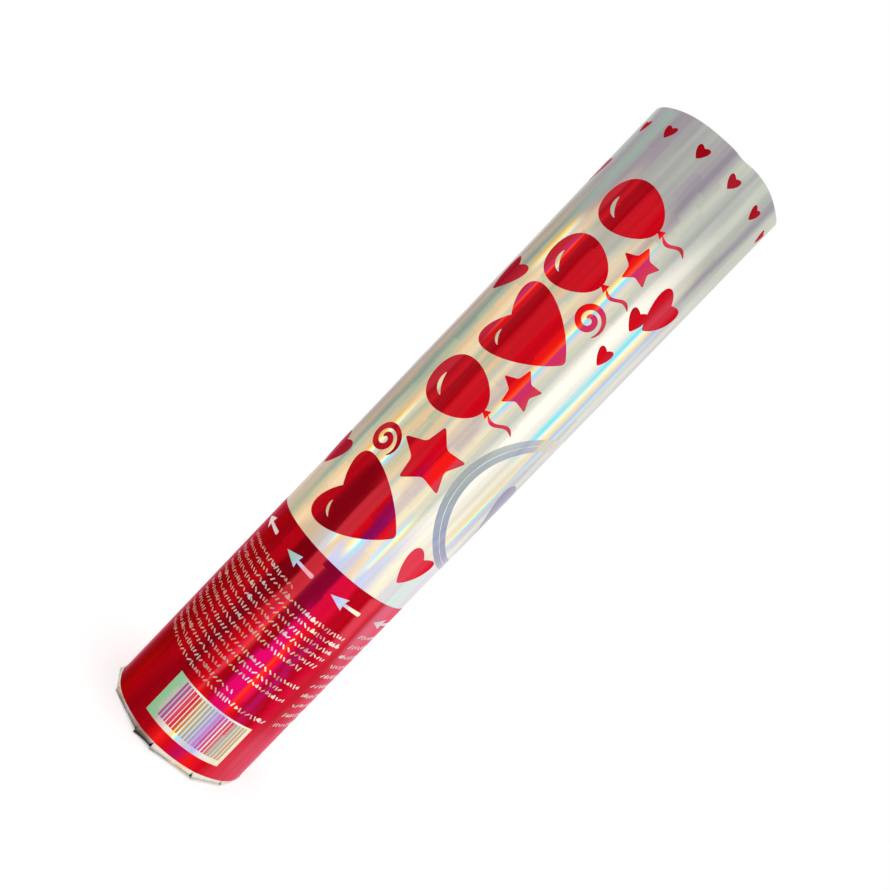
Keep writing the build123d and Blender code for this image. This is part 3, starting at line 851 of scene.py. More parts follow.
BAR_COLUMNS: Columns = (
    (LAP, CRIMSON), (-17.0, VIOLET), (-12.0, VIOLET), (-9.0, FUCHSIA), (-5.0, CORAL),
    (-1.0, SCARLET), (2.5, OCHRE), (6.0, OLIVE), (9.5, SLATE), (13.0, LILAC), (17.0, ORCHID),
    (21.0, FUCHSIA), (26.0, CORAL), (30.0, MIST), (33.0, SAND), (38.0, SAND), (LAP_END, CRIMSON),
)
FLECK_COLUMNS: Columns = (
    (LAP, BLUSH), (-48.0, BLUSH), (-34.0, SAND), (-24.0, SILT), (-14.0, BLUSH), (-5.0, SAND),
    (3.0, SAND), (8.0, ICE), (14.0, PEARL), (20.0, BUTTER), (27.0, BLUSH), (37.0, PEARL),
    (60.0, ROSE), (130.0, PEARL), (170.0, SAND), (LAP_END, BLUSH),
)
# Umber from -20 to -10 degrees, over the deepest fold of the hem, is painted shade.
HEM_COLUMNS: Columns = (
    (LAP, PEARL), (-88.0, PALE), (-64.0, PEARL), (-50.0, SAND), (-36.0, ROSE), (-20.0, UMBER),
    (-10.0, UMBER), (-3.0, ROSE), (4.0, PEARL), (20.0, CREAM), (28.0, PEARL), (46.0, PEARL),
    (80.0, ROSE), (120.0, SAND), (160.0, PEARL), (200.0, SAND), (LAP_END, PEARL),
)
GREY_COLUMNS: Columns = (
    (LAP, SLATE), (18.0, SILT), (29.0, SLATE), (44.0, HAZE), (60.0, HEATHER), (90.0, HEATHER),
    (112.0, SLATE), (136.0, HAZE), (LAP_END, SLATE),
)
GREY_TOP_COLUMNS: Columns = (
    (LAP, PALE), (26.0, PALE), (40.0, ICE), (52.0, BUTTER), (70.0, PEARL), (110.0, PALE),
    (LAP_END, PALE),
)
# Where the painted glints lie, here and in the tables below: angle, width, lowest and highest
# millimetre, fade, and their own hues.
SILVER_GLINTS: tuple[Glint, ...] = (
    Glint(-46.0, 15.0, 175.0, 203.0, 10.0, GOLD_SPECTRUM),
    Glint(44.0, -18.0, 130.0, 204.0, 18.0, PASTEL_SPECTRUM),
    Glint(56.0, 12.0, 120.0, 206.0, 24.0, AZURE_SPECTRUM),
    Glint(54.0, 8.0, 92.0, 140.0),
    Glint(8.0, 10.0, 132.0, 212.0, 16.0),
    Glint(-30.0, 8.0, 176.0, 200.0, 10.0),
    Glint(-38.0, 11.0, 96.0, 134.0, 14.0, GOLD_SPECTRUM),
    Glint(-24.0, 7.0, 98.0, 122.0, 10.0),
    Glint(2.0, 14.0, 78.0, 100.0, 10.0),
    Glint(-2.0, 9.0, 84.0, 108.0, 8.0, AZURE_SPECTRUM),
    Glint(-13.0, -9.0, 78.0, 98.0, 9.0),
    Glint(17.0, -8.0, 78.0, 108.0, 12.0),
    Glint(88.0, 10.0, 90.0, 180.0),
    Glint(122.0, -8.0, 100.0, 235.0),
    Glint(158.0, 12.0, 80.0, 120.0),
    Glint(205.0, -10.0, 90.0, 170.0),
    Glint(232.0, 8.0, 120.0, 236.0),
)
RED_GLINTS: tuple[Glint, ...] = (
    Glint(18.0, 10.0, 22.0, 58.0, 12.0),
    Glint(-6.0, -5.0, 30.0, 66.0, 10.0),
    Glint(127.0, 10.0, 8.0, 66.0, 12.0),
    Glint(203.0, -9.0, 14.0, 72.0, 12.0),
)
INK_GLINTS: tuple[Glint, ...] = (
    Glint(9.0, 18.0, 130.0, 214.0, 14.0),
    Glint(-34.0, -9.0, 150.0, 204.0, 14.0),
    Glint(158.0, 10.0, 84.0, 130.0, 14.0),
    Glint(180.0, -9.0, 140.0, 214.0, 14.0),
)
PANEL_GLINTS: tuple[Glint, ...] = (Glint(4.0, 12.0, 3.0, 13.0, 4.0),)

RED_EDGE: Colour = (1.0, 0.35, 0.42)
SILVER_EDGE: Colour = (0.93, 0.92, 0.90)
SILVER_FOIL = HoloFilm(
    "silver_foil_film", SILVER_COLUMNS, SILVER_SPECTRUM, SILVER_GLINTS,
    (Wash(184.0, 220.0, 0.94, MUZZLE_COLUMNS), Wash(106.0, 82.0, 0.85, FOOT_COLUMNS)),
    edge_tint=SILVER_EDGE,
)
BARE_FILM = HoloFilm("bare_base_film", BARE_COLUMNS, SILVER_SPECTRUM, wander=3.0)
PANEL_FILM = HoloFilm("bare_panel_film", PANEL_COLUMNS, SILVER_SPECTRUM, PANEL_GLINTS, wander=3.0)
FLECK_FILM = HoloFilm("bare_fleck_film", FLECK_COLUMNS, SILVER_SPECTRUM, wander=4.0)
BARE_HEM = HoloFilm(
    "bare_hem_film", HEM_COLUMNS, SILVER_SPECTRUM,
    wander=9.0, wander_band=(14.0, 6.0), coat=0.0, creases="crease",
)
RED_FOIL = HoloFilm(
    "red_foil_film", RED_COLUMNS, RED_SPECTRUM, RED_GLINTS,
    (Wash(30.0, 10.0, 0.9, RED_FOOT_COLUMNS), Wash(48.0, 64.0, 0.95, RED_TOP_COLUMNS)),
    wander=4.0, edge_tint=RED_EDGE, coat=0.02,
)
RED_INK = HoloFilm(
    "red_ink_on_foil", INK_COLUMNS, INK_SPECTRUM, INK_GLINTS,
    (Wash(122.0, 100.0, 0.9, INK_FOOT_COLUMNS), Wash(214.0, 226.0, 0.85, INK_TOP_COLUMNS)),
    wander=4.0, tile=(5.0, 40.0), edge_tint=RED_EDGE, coat=0.02,
)
BAR_INK = HoloFilm("bar_ink_on_foil", BAR_COLUMNS, SILVER_SPECTRUM, wander=3.0)
GREY_INK = HoloFilm(
    "grey_ink_on_foil", GREY_COLUMNS, SILVER_SPECTRUM,
    washes=(Wash(126.0, 144.0, 0.75, GREY_TOP_COLUMNS),),
)


@dataclass(frozen=True)
class Side:
    """A side of the tube: its middle and its width, in degrees."""

    angle: float
    width: float

    def share(self, angle: float) -> float:
        """How much of it there is at an angle in radians: 1 in the middle, fading to 0."""
        away = (angle - math.radians(self.angle) + math.pi) % math.tau - math.pi
        return math.exp(-((away / math.radians(self.width)) ** 2))


@dataclass(frozen=True)
class RimLift(Side):
    """A side where the folded foil lifts off the tube's end, or sinks."""

    rise: float


@dataclass(frozen=True)
class LowSide(Side):
    """A side where the foil sits lower: how far the print and the hem drop there.

    Where it is smooth, the hem has lost that share of its pleats.
    """

    print_drop: float
    hem_drop: float
    smooth: float = 0.0


@dataclass(frozen=True)
class Crease:
    """A crease of the hem: its angle in degrees, how deep the flat after it is, and how dark its
    painted shade is.
    """

    angle: float
    depth: float
    dark: float


@dataclass(frozen=True)
class Fold:
    """A flat of the hem between two creases: where it starts, its width, how deep, and how dark its
    painted shade is.
    """

    start: float
    width: float
    depth: float
    dark: float


@dataclass(frozen=True)
class PleatedHem:
    """The foil's folded lower edge: flats between pleats, each pleat lapped over its neighbour."""

    # The third number of each crease is how dark the painted shade of the flat after it is.
    creases: tuple[Crease, ...] = (
        Crease(-82.0, 0.9, 0.3), Crease(-55.0, 1.0, 0.6), Crease(-19.0, 1.8, 1.0),
        Crease(-4.0, 1.1, 0.55), Crease(30.0, 1.2, 0.5), Crease(57.0, 1.0, 0.2),
        Crease(84.0, 1.2, 0.5), Crease(110.0, 1.0, 0.7), Crease(141.0, 1.3, 0.4),
        Crease(168.0, 1.0, 0.8), Crease(199.0, 1.4, 0.5), Crease(226.0, 1.0, 0.6),
        Crease(252.0, 1.2, 0.4),
    )
    reach: float = 2.3 * MM
    lap: float = 0.55 * MM
    groove: float = 0.4 * MM
    groove_width: float = math.radians(1.6)
    flare: float = 0.8 * MM

    def folds(self) -> list[Fold]:
        """Lays the flats between the creases.

        Returns:
            The flats, in order round the tube.
        """
        starts = [math.radians(crease.angle) for crease in self.creases]
        ends = starts[1:] + [starts[0] + math.tau]
        return [
            Fold(start, end - start, crease.depth, crease.dark)
            for start, end, crease in zip(starts, ends, self.creases)
        ]

    def fold_at(self, folds: list[Fold], angle: float) -> tuple[Fold, float]:
        """The flat at an angle, and how far into it that is."""
        inside = [(fold, (angle - fold.start) % math.tau) for fold in folds]
        return min(inside, key=lambda pair: pair[1])

    def flatness(self, fold: Fold, along: float) -> float:
        """The flat's radius as a share of the round tube's."""
        chord = math.cos(fold.width / 2) / math.cos(along - fold.width / 2)
        return 1.0 - fold.depth * (1.0 - chord)

    def valley(self, fold: Fold, along: float) -> float:
        """How deep into the groove at the flat's end a place is, from 0 to 1."""
        return max(0.0, 1.0 - (fold.width - along) / self.groove_width)

    def stand(self, fold: Fold, along: float) -> float:
        """How far the pleat stands proud of its flat, or below it in the groove."""
        lap = self.lap * fold.depth * max(0.0, 1.0 - along / fold.width) ** 2
        return lap - self.groove * fold.depth * self.valley(fold, along)


def waves(angle: float, count: float, along: float) -> float:
    """Soft noise round the tube, from -1 to 1: how closely it waves, and a place along it."""
    return noise.noise(Vector((math.sin(angle) * count, math.cos(angle) * count, along)))


@dataclass(frozen=True)
class FoilSkin:
    """The outside of a foil-wrapped tube: faint lengthwise ripples, and a lap down the back."""

    radius: float = 25.4 * MM
    ripple: float = 0.03 * MM
    flutes: float = 6.5
    sway: float = 9.0
    lap_angle: float = math.radians(LAP)
    lap_step: float = 0.09 * MM
    lap_width: float = math.radians(16.0)

    def radius_at(self, angle: float, height: float) -> float:
        """The skin's radius.

        Args:
            angle: The angle from the front.
            height: The height above the floor.

        Returns:
            The radius in metres.
        """
        past_lap = (angle - self.lap_angle) % math.tau
        lap = self.lap_step * max(0.0, 1.0 - past_lap / self.lap_width)
        return self.radius + self.ripple * waves(angle, self.flutes, height * self.sway) + lap


def off_tube(point: Vector) -> Triple:
    """A point's angle round the tube from the front to the right, its radius and its height."""
    return math.atan2(point.x, -point.y), math.hypot(point.x, point.y), point.z


def on_tube(angle: float, radius: float, height: float) -> Vector:
    """A point at an angle round the tube, a radius and a height."""
    return Vector((math.sin(angle) * radius, -math.cos(angle) * radius, height))


def spun(outline: list[Pair], rows: dict[int, int], steps: int) -> BMesh:
    """A closed ring of foil.

    Args:
        outline: The radius and height of each corner of its section, in order.
        rows: How many cuts the side after a corner gets.
        steps: How many steps go round.

    Returns:
        The ring.
    """
    bm = bmesh.new()
    corners = [bm.verts.new((radius, 0.0, height)) for radius, height in outline]
    sides = [bm.edges.new(pair) for pair in zip(corners, corners[1:] + corners[:1])]
    for index, cuts in rows.items():
        bmesh.ops.subdivide_edges(bm, edges=[sides[index]], cuts=cuts)
    bmesh.ops.spin(
        bm, geom=bm.verts[:] + bm.edges[:], cent=(0, 0, 0), axis=(0, 0, 1), angle=math.tau,
        steps=steps, use_merge=True,
    )
    bmesh.ops.remove_doubles(bm, verts=bm.verts[:], dist=MERGE)
    bmesh.ops.recalc_face_normals(bm, faces=bm.faces[:])
    return bm


def rounded(
    bm: BMesh,
    geom: list[BMVert] | list[BMEdge],
    offset: float,
    segments: int,
    affect: str = "VERTICES",
) -> None:
    """Rounds off some vertices or edges.

    Args:
        bm: The mesh.
        geom: The vertices or edges.
        offset: How far the round reaches.
        segments: How many faces make it.
        affect: Whether it rounds VERTICES or EDGES.
    """
    bmesh.ops.bevel(
        bm, geom=geom, offset=offset, offset_type="OFFSET", segments=segments, profile=0.5,
        affect=affect, material=-1,
    )


def round_rings(bm: BMesh, corners: list[Pair], offset: float, segments: int) -> None:
    """Rounds rings of edges.

    Args:
        bm: The spun ring.
        corners: The radius and height of each ring.
        offset: How far the round reaches.
        segments: How many faces make it.
    """
    near = 0.01 * MM

    def on_ring(vert: BMVert, radius: float, height: float) -> bool:
        """Whether a vertex lies on a ring."""
        out = math.hypot(vert.co.x, vert.co.y)
        return abs(vert.co.z - height) < near and abs(out - radius) < near

    rings = [
        edge for edge in bm.edges
        if any(all(on_ring(vert, *corner) for vert in edge.verts) for corner in corners)
    ]
    rounded(bm, rings, offset, segments, "EDGES")


def settle(
    bm: BMesh, name: str, finishes: list[Finish], body: Body, stands_for: str = ""
) -> Object:
    """Makes a bmesh a piece of the popper.

    Args:
        bm: The mesh, which is freed.
        name: The piece's name.
        finishes: Its finishes, in the order of its faces' material numbers.
        body: The body it rides on.
        stands_for: The CAD node that it stands for, if any.

    Returns:
        The piece.
    """
    mesh = bpy.data.meshes.new(name)
    bm.to_mesh(mesh)
    bm.free()
    for finish in finishes:
        mesh.materials.append(finish.material())
    mesh.shade_smooth()
    mesh.set_sharp_from_angle(angle=SHARP_ANGLE)
    piece = bpy.data.objects.new(name, mesh)
    bpy.context.scene.collection.objects.link(piece)
    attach(piece, body.value)
    if stands_for:
        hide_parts(stands_for)
    log.info("%s: %d faces on %s", name, len(mesh.polygons), body.value)
    return piece


@dataclass
class BarrelFoil:
    """The silver foil round the barrel, turned in over the muzzle."""

    skin: FoilSkin = FoilSkin()
    foot: float = 77.53 * MM
    top: float = 240.0 * MM
    sheet: float = 0.25 * MM
    hem_radius: float = 23.0 * MM
    hem_foot: float = 234.0 * MM
    hem_pleat: float = 0.12 * MM
    pleat_reach: float = 2.0 * MM
    pleats: float = 14.0
    rim_round: float = 0.25 * MM
    rim_segments: int = 3
    rim_lifts: tuple[RimLift, ...] = (
        RimLift(-88.0, 24.0, 1.7 * MM), RimLift(-45.0, 35.0, 0.7 * MM),
        RimLift(9.0, 6.0, -0.4 * MM), RimLift(32.0, 22.0, 0.7 * MM), RimLift(86.0, 18.0, 1.5 * MM),
        RimLift(150.0, 24.0, 0.6 * MM), RimLift(215.0, 30.0, 0.5 * MM),
    )
    rim_reach: float = 7.0 * MM
    steps: int = 400
    rows: int = 26
    hem_rows: int = 4

    def build(self) -> Object:
        """Makes the foil.

        Returns:
            The piece.
        """
        outer, inner = self.skin.radius, self.skin.radius - self.sheet
        back, under = self.hem_radius + self.sheet, self.top - self.sheet
        outline = [
            (outer, self.foot), (outer, self.top), (self.hem_radius, self.top),
            (self.hem_radius, self.hem_foot), (back, self.hem_foot), (back, under), (inner, under),
            (inner, self.foot),
        ]
        bm = spun(outline, {0: self.rows, 2: self.hem_rows}, self.steps)
        rims = [(outer, self.top), (self.hem_radius, self.top)]
        round_rings(bm, rims, self.rim_round, self.rim_segments)
        for vert in bm.verts:
            self.shape(vert)
        finishes = [SILVER_FOIL]
        return settle(bm, "barrel_foil", finishes, Body.BARREL, "barrel_wrap")

    def shape(self, vert: BMVert) -> None:
        """Gives one vertex of the plain ring its ripples, the hem's pleats and the rim's lift.

        Args:
            vert: The vertex.
        """
        angle, radius, height = off_tube(vert.co)
        below = self.top - height
        if radius > self.skin.radius - self.sheet / 2:
            radius += self.skin.radius_at(angle, height) - self.skin.radius
        if radius < self.hem_radius + self.sheet / 2:
            deep = min(1.0, below / self.pleat_reach)
            radius -= deep * self.hem_pleat * abs(waves(angle, self.pleats, 0.0))
        near_rim = max(0.0, 1.0 - below / self.rim_reach) ** 2
        lift = sum(side.rise * side.share(angle) for side in self.rim_lifts)
        vert.co = on_tube(angle, radius, height + near_rim * lift)


@dataclass
class BaseFoil:
    """The red foil round the base: printed above, bare at the hem that is pleated under it."""

    skin: FoilSkin = FoilSkin()
    hem: PleatedHem = PleatedHem()
    foot: float = 0.65 * MM
    top: float = 77.47 * MM
    sheet: float = 0.25 * MM
    hem_inner: float = 17.4 * MM
    disc_radius: float = 20.0 * MM
    disc_clear: float = 2.0 * MM
    print_foot: float = 2.4 * MM
    corner_round: float = 0.8 * MM
    corner_segments: int = 3
    ruck: float = 0.45 * MM
    ruck_stand: float = 0.4
    ruck_length: float = 6.0 * MM
    rucks: float = 9.0
    lowest: float = 0.1 * MM
    # Painted shade along the hem's lower edge: how high it reaches, how much higher on darker
    # flats, and its fade.
    hem_shade_from: float = 0.95 * MM
    hem_shade_rise: float = 1.1 * MM
    hem_shade_fade: float = 0.5 * MM
    low_sides: tuple[LowSide, ...] = (
        LowSide(-74.0, 38.0, 1.2 * MM, 0.45 * MM), LowSide(85.0, 27.0, 1.5 * MM, 0.0, 0.8)
    )
    steps: int = 600
    rows: tuple[int, ...] = (12, 2, 4, 12)

    def build(self) -> Object:
        """Makes the foil.

        Returns:
            The piece.
        """
        outer, inner = self.skin.radius, self.skin.radius - self.sheet
        above = self.foot + self.sheet
        outline = [
            (outer, self.top), (outer, self.foot + self.hem.reach), (outer, self.print_foot),
            (outer, self.foot), (self.hem_inner, self.foot), (self.hem_inner, above),
            (inner, above), (inner, self.top),
        ]
        bm = spun(outline, dict(enumerate(self.rows)), self.steps)
        round_rings(bm, [(outer, self.foot)], self.corner_round, self.corner_segments)
        for face in bm.faces:
            _, radius, height = off_tube(face.calc_center_median())
            printed = height > self.print_foot and radius > inner + self.sheet / 2
            face.material_index = 0 if printed else 1
        folds = self.hem.folds()
        crease = bm.verts.layers.float.new(BARE_HEM.creases)
        for vert in bm.verts:
            vert[crease] = self.shape(vert, folds)
        finishes = [RED_FOIL, BARE_HEM]
        return settle(bm, "base_foil", finishes, Body.BASE, "base_wrap")

    def shape(self, vert: BMVert, folds: list[Fold]) -> float:
        """Gives one vertex of the plain ring its ripples, and the flats and pleats of the hem.

        Args:
            vert: The vertex.
            folds: The hem's flats.

        Returns:
            How much painted shade the hem's grooves and lower edge get there, from 0 to 1.
        """
        angle, radius, height = off_tube(vert.co)
        wall = radius > self.skin.radius - self.sheet / 2
        under = height < self.foot + self.sheet / 2
        if not wall and not under:
            return 0.0
        fold, along = self.hem.fold_at(folds, angle)
        hanging = held(1.0 - (height - self.foot) / self.hem.reach)
        hanging *= hanging * (3.0 - 2.0 * hanging)
        clear = held((radius - self.disc_radius) / self.disc_clear)
        if wall:
            radius += self.skin.radius_at(angle, height) - self.skin.radius
        stand = self.hem.stand(fold, along)
        flat = radius * (self.hem.flatness(fold, along) - 1.0)
        shares = [(side, side.share(angle)) for side in self.low_sides]
        pleated = 1.0 - sum(side.smooth * share for side, share in shares)
        radius += hanging * clear * pleated * (flat + self.hem.flare + stand)
        if wall:
            print_height = self.print_foot - self.foot
            drop = sum(side.print_drop * share for side, share in shares)
            height -= drop * max(0.0, 1.0 - abs(height - self.print_foot) / print_height)
        height -= sum(side.hem_drop * share for side, share in shares) * hanging * clear
        if under:
            ridge = waves(angle, self.rucks, radius / self.ruck_length)
            drop = self.ruck * (0.5 + 0.5 * ridge) + self.ruck_stand * abs(stand)
            height = max(self.lowest, height - clear * drop)
        vert.co = on_tube(angle, radius, height)
        # Painted shade: dark in the grooves between flats and in a band along the lower edge,
        # higher on darker flats.
        hem_shade_top = self.hem_shade_from + self.hem_shade_rise * fold.dark
        edge = held((hem_shade_top - height) / self.hem_shade_fade)
        return min(1.0, hanging * pleated * (self.hem.valley(fold, along) + edge * fold.dark))


@dataclass(frozen=True)
class Outline:
    """A flat mark about one unit across, drawn in the XY plane with its top towards +Y."""

    def draw(self, bm: BMesh) -> None:
        """Draws the mark.

        Args:
            bm: An empty mesh to draw in.
        """
        raise NotImplementedError


@dataclass(frozen=True)
class Heart(Outline):
    """A plump heart: a circle whose halves are sheared upwards."""

    segments: int = 40
    lobes: float = 0.9
    squat: float = 0.88
    sink: float = 0.2
    tip: float = 0.05
    tip_segments: int = 3

    def draw(self, bm: BMesh) -> None:
        """Draws the heart.

        Args:
            bm: An empty mesh to draw in.
        """
        bmesh.ops.create_circle(bm, cap_ends=True, radius=1.0, segments=self.segments)
        for vert in bm.verts:
            vert.co.y = self.squat * (vert.co.y + self.lobes * abs(vert.co.x) - self.sink)
        bmesh.ops.scale(bm, vec=(0.5, 0.5, 0.5), verts=bm.verts[:])
        tip = min(bm.verts, key=lambda vert: vert.co.y)
        rounded(bm, [tip], self.tip, self.tip_segments)


@dataclass(frozen=True)
class Ring(Outline):
    """A plain ring."""

    width: float
    segments: int = 96

    def draw(self, bm: BMesh) -> None:
        """Draws the ring.

        Args:
            bm: An empty mesh to draw in.
        """
        bmesh.ops.create_circle(bm, cap_ends=True, radius=0.5, segments=self.segments)
        middle = bm.faces[:]
        bmesh.ops.inset_region(
            bm, faces=middle, thickness=self.width, use_boundary=True, use_even_offset=True
        )
        bmesh.ops.delete(bm, geom=middle, context="FACES")


@dataclass(frozen=True)
class Star(Outline):
    """A star with rounded points."""

    points: int = 5
    waist: float = 0.52
    soft: float = 0.05
    soft_segments: int = 4

    def draw(self, bm: BMesh) -> None:
        """Draws the star.

        Args:
            bm: An empty mesh to draw in.
        """
        bmesh.ops.create_circle(bm, cap_ends=True, radius=0.5, segments=2 * self.points)
        turned = sorted(bm.verts, key=lambda vert: math.atan2(vert.co.x, vert.co.y) % math.tau)
        for index, vert in enumerate(turned):
            vert.co *= self.waist if index % 2 else 1.0
        rounded(bm, bm.verts[:], self.soft, self.soft_segments)


@dataclass(frozen=True)
class Balloon(Outline):
    """A balloon, fuller at the top than at its neck."""

    breadth: float = 0.86
    fuller: float = 0.16
    segments: int = 40

    def draw(self, bm: BMesh) -> None:
        """Draws the balloon.

        Args:
            bm: An empty mesh to draw in.
        """
        bmesh.ops.create_circle(bm, cap_ends=True, radius=0.5, segments=self.segments)
        for vert in bm.verts:
            vert.co.x *= self.breadth * (1.0 + self.fuller * vert.co.y / 0.5)


@dataclass(frozen=True)
class Knot(Outline):
    """The knot of a balloon, a small flared tie."""

    radius: float = 0.6

    def draw(self, bm: BMesh) -> None:
        """Draws the knot.

        Args:
            bm: An empty mesh to draw in.
        """
        bmesh.ops.create_circle(bm, cap_ends=True, radius=self.radius, segments=3)


@dataclass(frozen=True)
class Band(Outline):
    """A band of paper: straight, waved or curled, tapered towards its ends."""

    length: float = 1.0
    width: float = 0.14
    waves: float = 0.0
    swing: float = 0.0
    turns: float = 0.0
    core: float = 0.1
    taper: float = 4.0
    thinned: float = 0.85
    segments: int = 40

    def draw(self, bm: BMesh) -> None:
        """Draws the band.

        Args:
            bm: An empty mesh to draw in.
        """
        bmesh.ops.create_grid(bm, x_segments=2, y_segments=self.segments, size=0.5)
        growth = 0.5 - self.core - self.width / 2
        for vert in bm.verts:
            side, share = vert.co.x, vert.co.y + 0.5
            wide = self.width * (1.0 - self.thinned * abs(2.0 * vert.co.y) ** self.taper)
            if self.turns:
                turn = math.tau * self.turns * share
                radius = self.core + growth * share + side * wide
                vert.co = Vector((math.sin(turn) * radius, math.cos(turn) * radius, 0.0))
            else:
                sway = self.swing * math.sin(math.tau * self.waves * share)
                vert.co = Vector((sway + side * wide, self.length * vert.co.y, 0.0))


@dataclass(frozen=True)
class Arrow(Outline):
    """An arrow that points to the left, with swept barbs."""

    head: float = 0.44
    breadth: float = 0.35
    neck: float = 0.08
    tail: float = 0.12
    tail_from: float = 0.47
    sweep: float = 0.03

    def draw(self, bm: BMesh) -> None:
        """Draws the arrow.

        Args:
            bm: An empty mesh to draw in.
        """
        back = self.head - 0.5
        upper = [
            (-0.5, 0.0), (back + self.sweep, self.breadth / 2), (back, self.neck / 2),
            (self.tail_from, self.tail / 2), (0.5, self.tail / 4),
        ]
        lower = [(x, -y) for x, y in reversed(upper[1:])]
        bm.faces.new([bm.verts.new((x, y, 0.0)) for x, y in upper + lower])


@dataclass(frozen=True)
class Bar(Outline):
    """A bar, with cut corners where it is a fleck of confetti."""

    height: float
    cut: float = 0.0

    def draw(self, bm: BMesh) -> None:
        """Draws the bar.

        Args:
            bm: An empty mesh to draw in.
        """
        bmesh.ops.create_grid(bm, x_segments=1, y_segments=1, size=0.5)
        bmesh.ops.scale(bm, vec=(1.0, self.height, 1.0), verts=bm.verts[:])
        if self.cut:
            rounded(bm, bm.verts[:], self.cut * self.height, 1)


@dataclass(frozen=True)
class Place:
    """Where a mark goes: degrees from the front, millimetres up, millimetres across, its turn."""

    angle: float
    height: float
    size: float
    turn: float = 0.0


@dataclass
class Plate:
    """A printing plate: its marks lie on a skin as one thin film."""

    skin: FoilSkin = FoilSkin()
    sunk: float = 0.03 * MM
    proud: float = 0.03 * MM
    strip: float = 1.2 * MM
    bm: BMesh = field(default_factory=bmesh.new)

    @classmethod
    def over(cls) -> "Plate":
        """A plate for marks that lie on other marks."""
        return cls(sunk=0.0, proud=0.05 * MM)

    def press(self, outline: Outline, place: Place) -> None:
        """Presses one mark onto the skin.

        Args:
            outline: The mark.
            place: Where it goes.
        """
        mark = bmesh.new()
        outline.draw(mark)
        turn = Matrix.Rotation(math.radians(place.turn), 3, "Z")
        bmesh.ops.scale(mark, vec=(place.size * MM,) * 3, verts=mark.verts[:])
        bmesh.ops.rotate(mark, cent=(0, 0, 0), matrix=turn, verts=mark.verts[:])
        self.cut(mark)
        self.thicken(mark)
        bmesh.ops.recalc_face_normals(mark, faces=mark.faces[:])
        for vert in mark.verts:
            angle = math.radians(place.angle) + vert.co.x / self.skin.radius
            height = place.height * MM + vert.co.y
            vert.co = on_tube(angle, self.skin.radius_at(angle, height) + vert.co.z, height)
        self.take(mark)

    def cut(self, mark: BMesh) -> None:
        """Cuts a flat mark into upright strips that are narrow enough to bend round the tube.

        Args:
            mark: The mark.
        """
        left = min(vert.co.x for vert in mark.verts)
        right = max(vert.co.x for vert in mark.verts)
        count = math.ceil((right - left) / self.strip)
        for index in range(1, count):
            bmesh.ops.bisect_plane(
                mark, geom=mark.verts[:] + mark.edges[:] + mark.faces[:], dist=MERGE,
                plane_co=(left + (right - left) * index / count, 0, 0), plane_no=(1, 0, 0),
            )

    def thicken(self, mark: BMesh) -> None:
        """Gives a flat mark its thickness, from a little below the skin to a little above it.

        Args:
            mark: The mark.
        """
        bmesh.ops.translate(mark, verts=mark.verts[:], vec=(0, 0, -self.sunk))
        raised = bmesh.ops.extrude_face_region(mark, geom=mark.faces[:], use_keep_orig=True)
        top = [item for item in raised["geom"] if isinstance(item, BMVert)]
        bmesh.ops.translate(mark, verts=top, vec=(0, 0, self.sunk + self.proud))

    def take(self, mark: BMesh) -> None:
        """Adds a finished mark to the plate.

        Args:
            mark: The mark, which is freed.
        """
        mesh = bpy.data.meshes.new("mark")
        mark.to_mesh(mesh)
        mark.free()
        self.bm.from_mesh(mesh)
        bpy.data.meshes.remove(mesh)

    def print(self, name: str, finish: Finish, body: Body, slot: Slot) -> Object:
        """Makes the plate's marks a piece, in one finish."""
        return settle(self.bm, name, [finish], body)


@dataclass(frozen=True)
class RowSpot:
    """A spot in a row, in millimetres: along the tube, down from the middle line, and its size."""

    along: float
    down: float
    size: float


@dataclass(frozen=True)
class Trim:
    """A mark at a spot of a row: its place and size as shares of the spot's size, and its turn."""

    outline: Outline
    along: float = 0.0
    down: float = 0.0
    size: float = 1.0
    turn: float = 0.0


@dataclass(frozen=True)
class RowShape:
    """One kind of shape in a row: its spots, what is inked there and what is left bare on that."""

    spots: tuple[RowSpot, ...]
    inked: tuple[Trim, ...]
    bare: tuple[Trim, ...] = ()


GLEAM = Band(width=0.1, turns=0.2, core=0.42, taper=2.0, segments=14)
STRING = Band(length=0.45, width=0.06, waves=1.0, swing=0.05)
CURL = Band(width=0.16, turns=1.6, core=0.06)


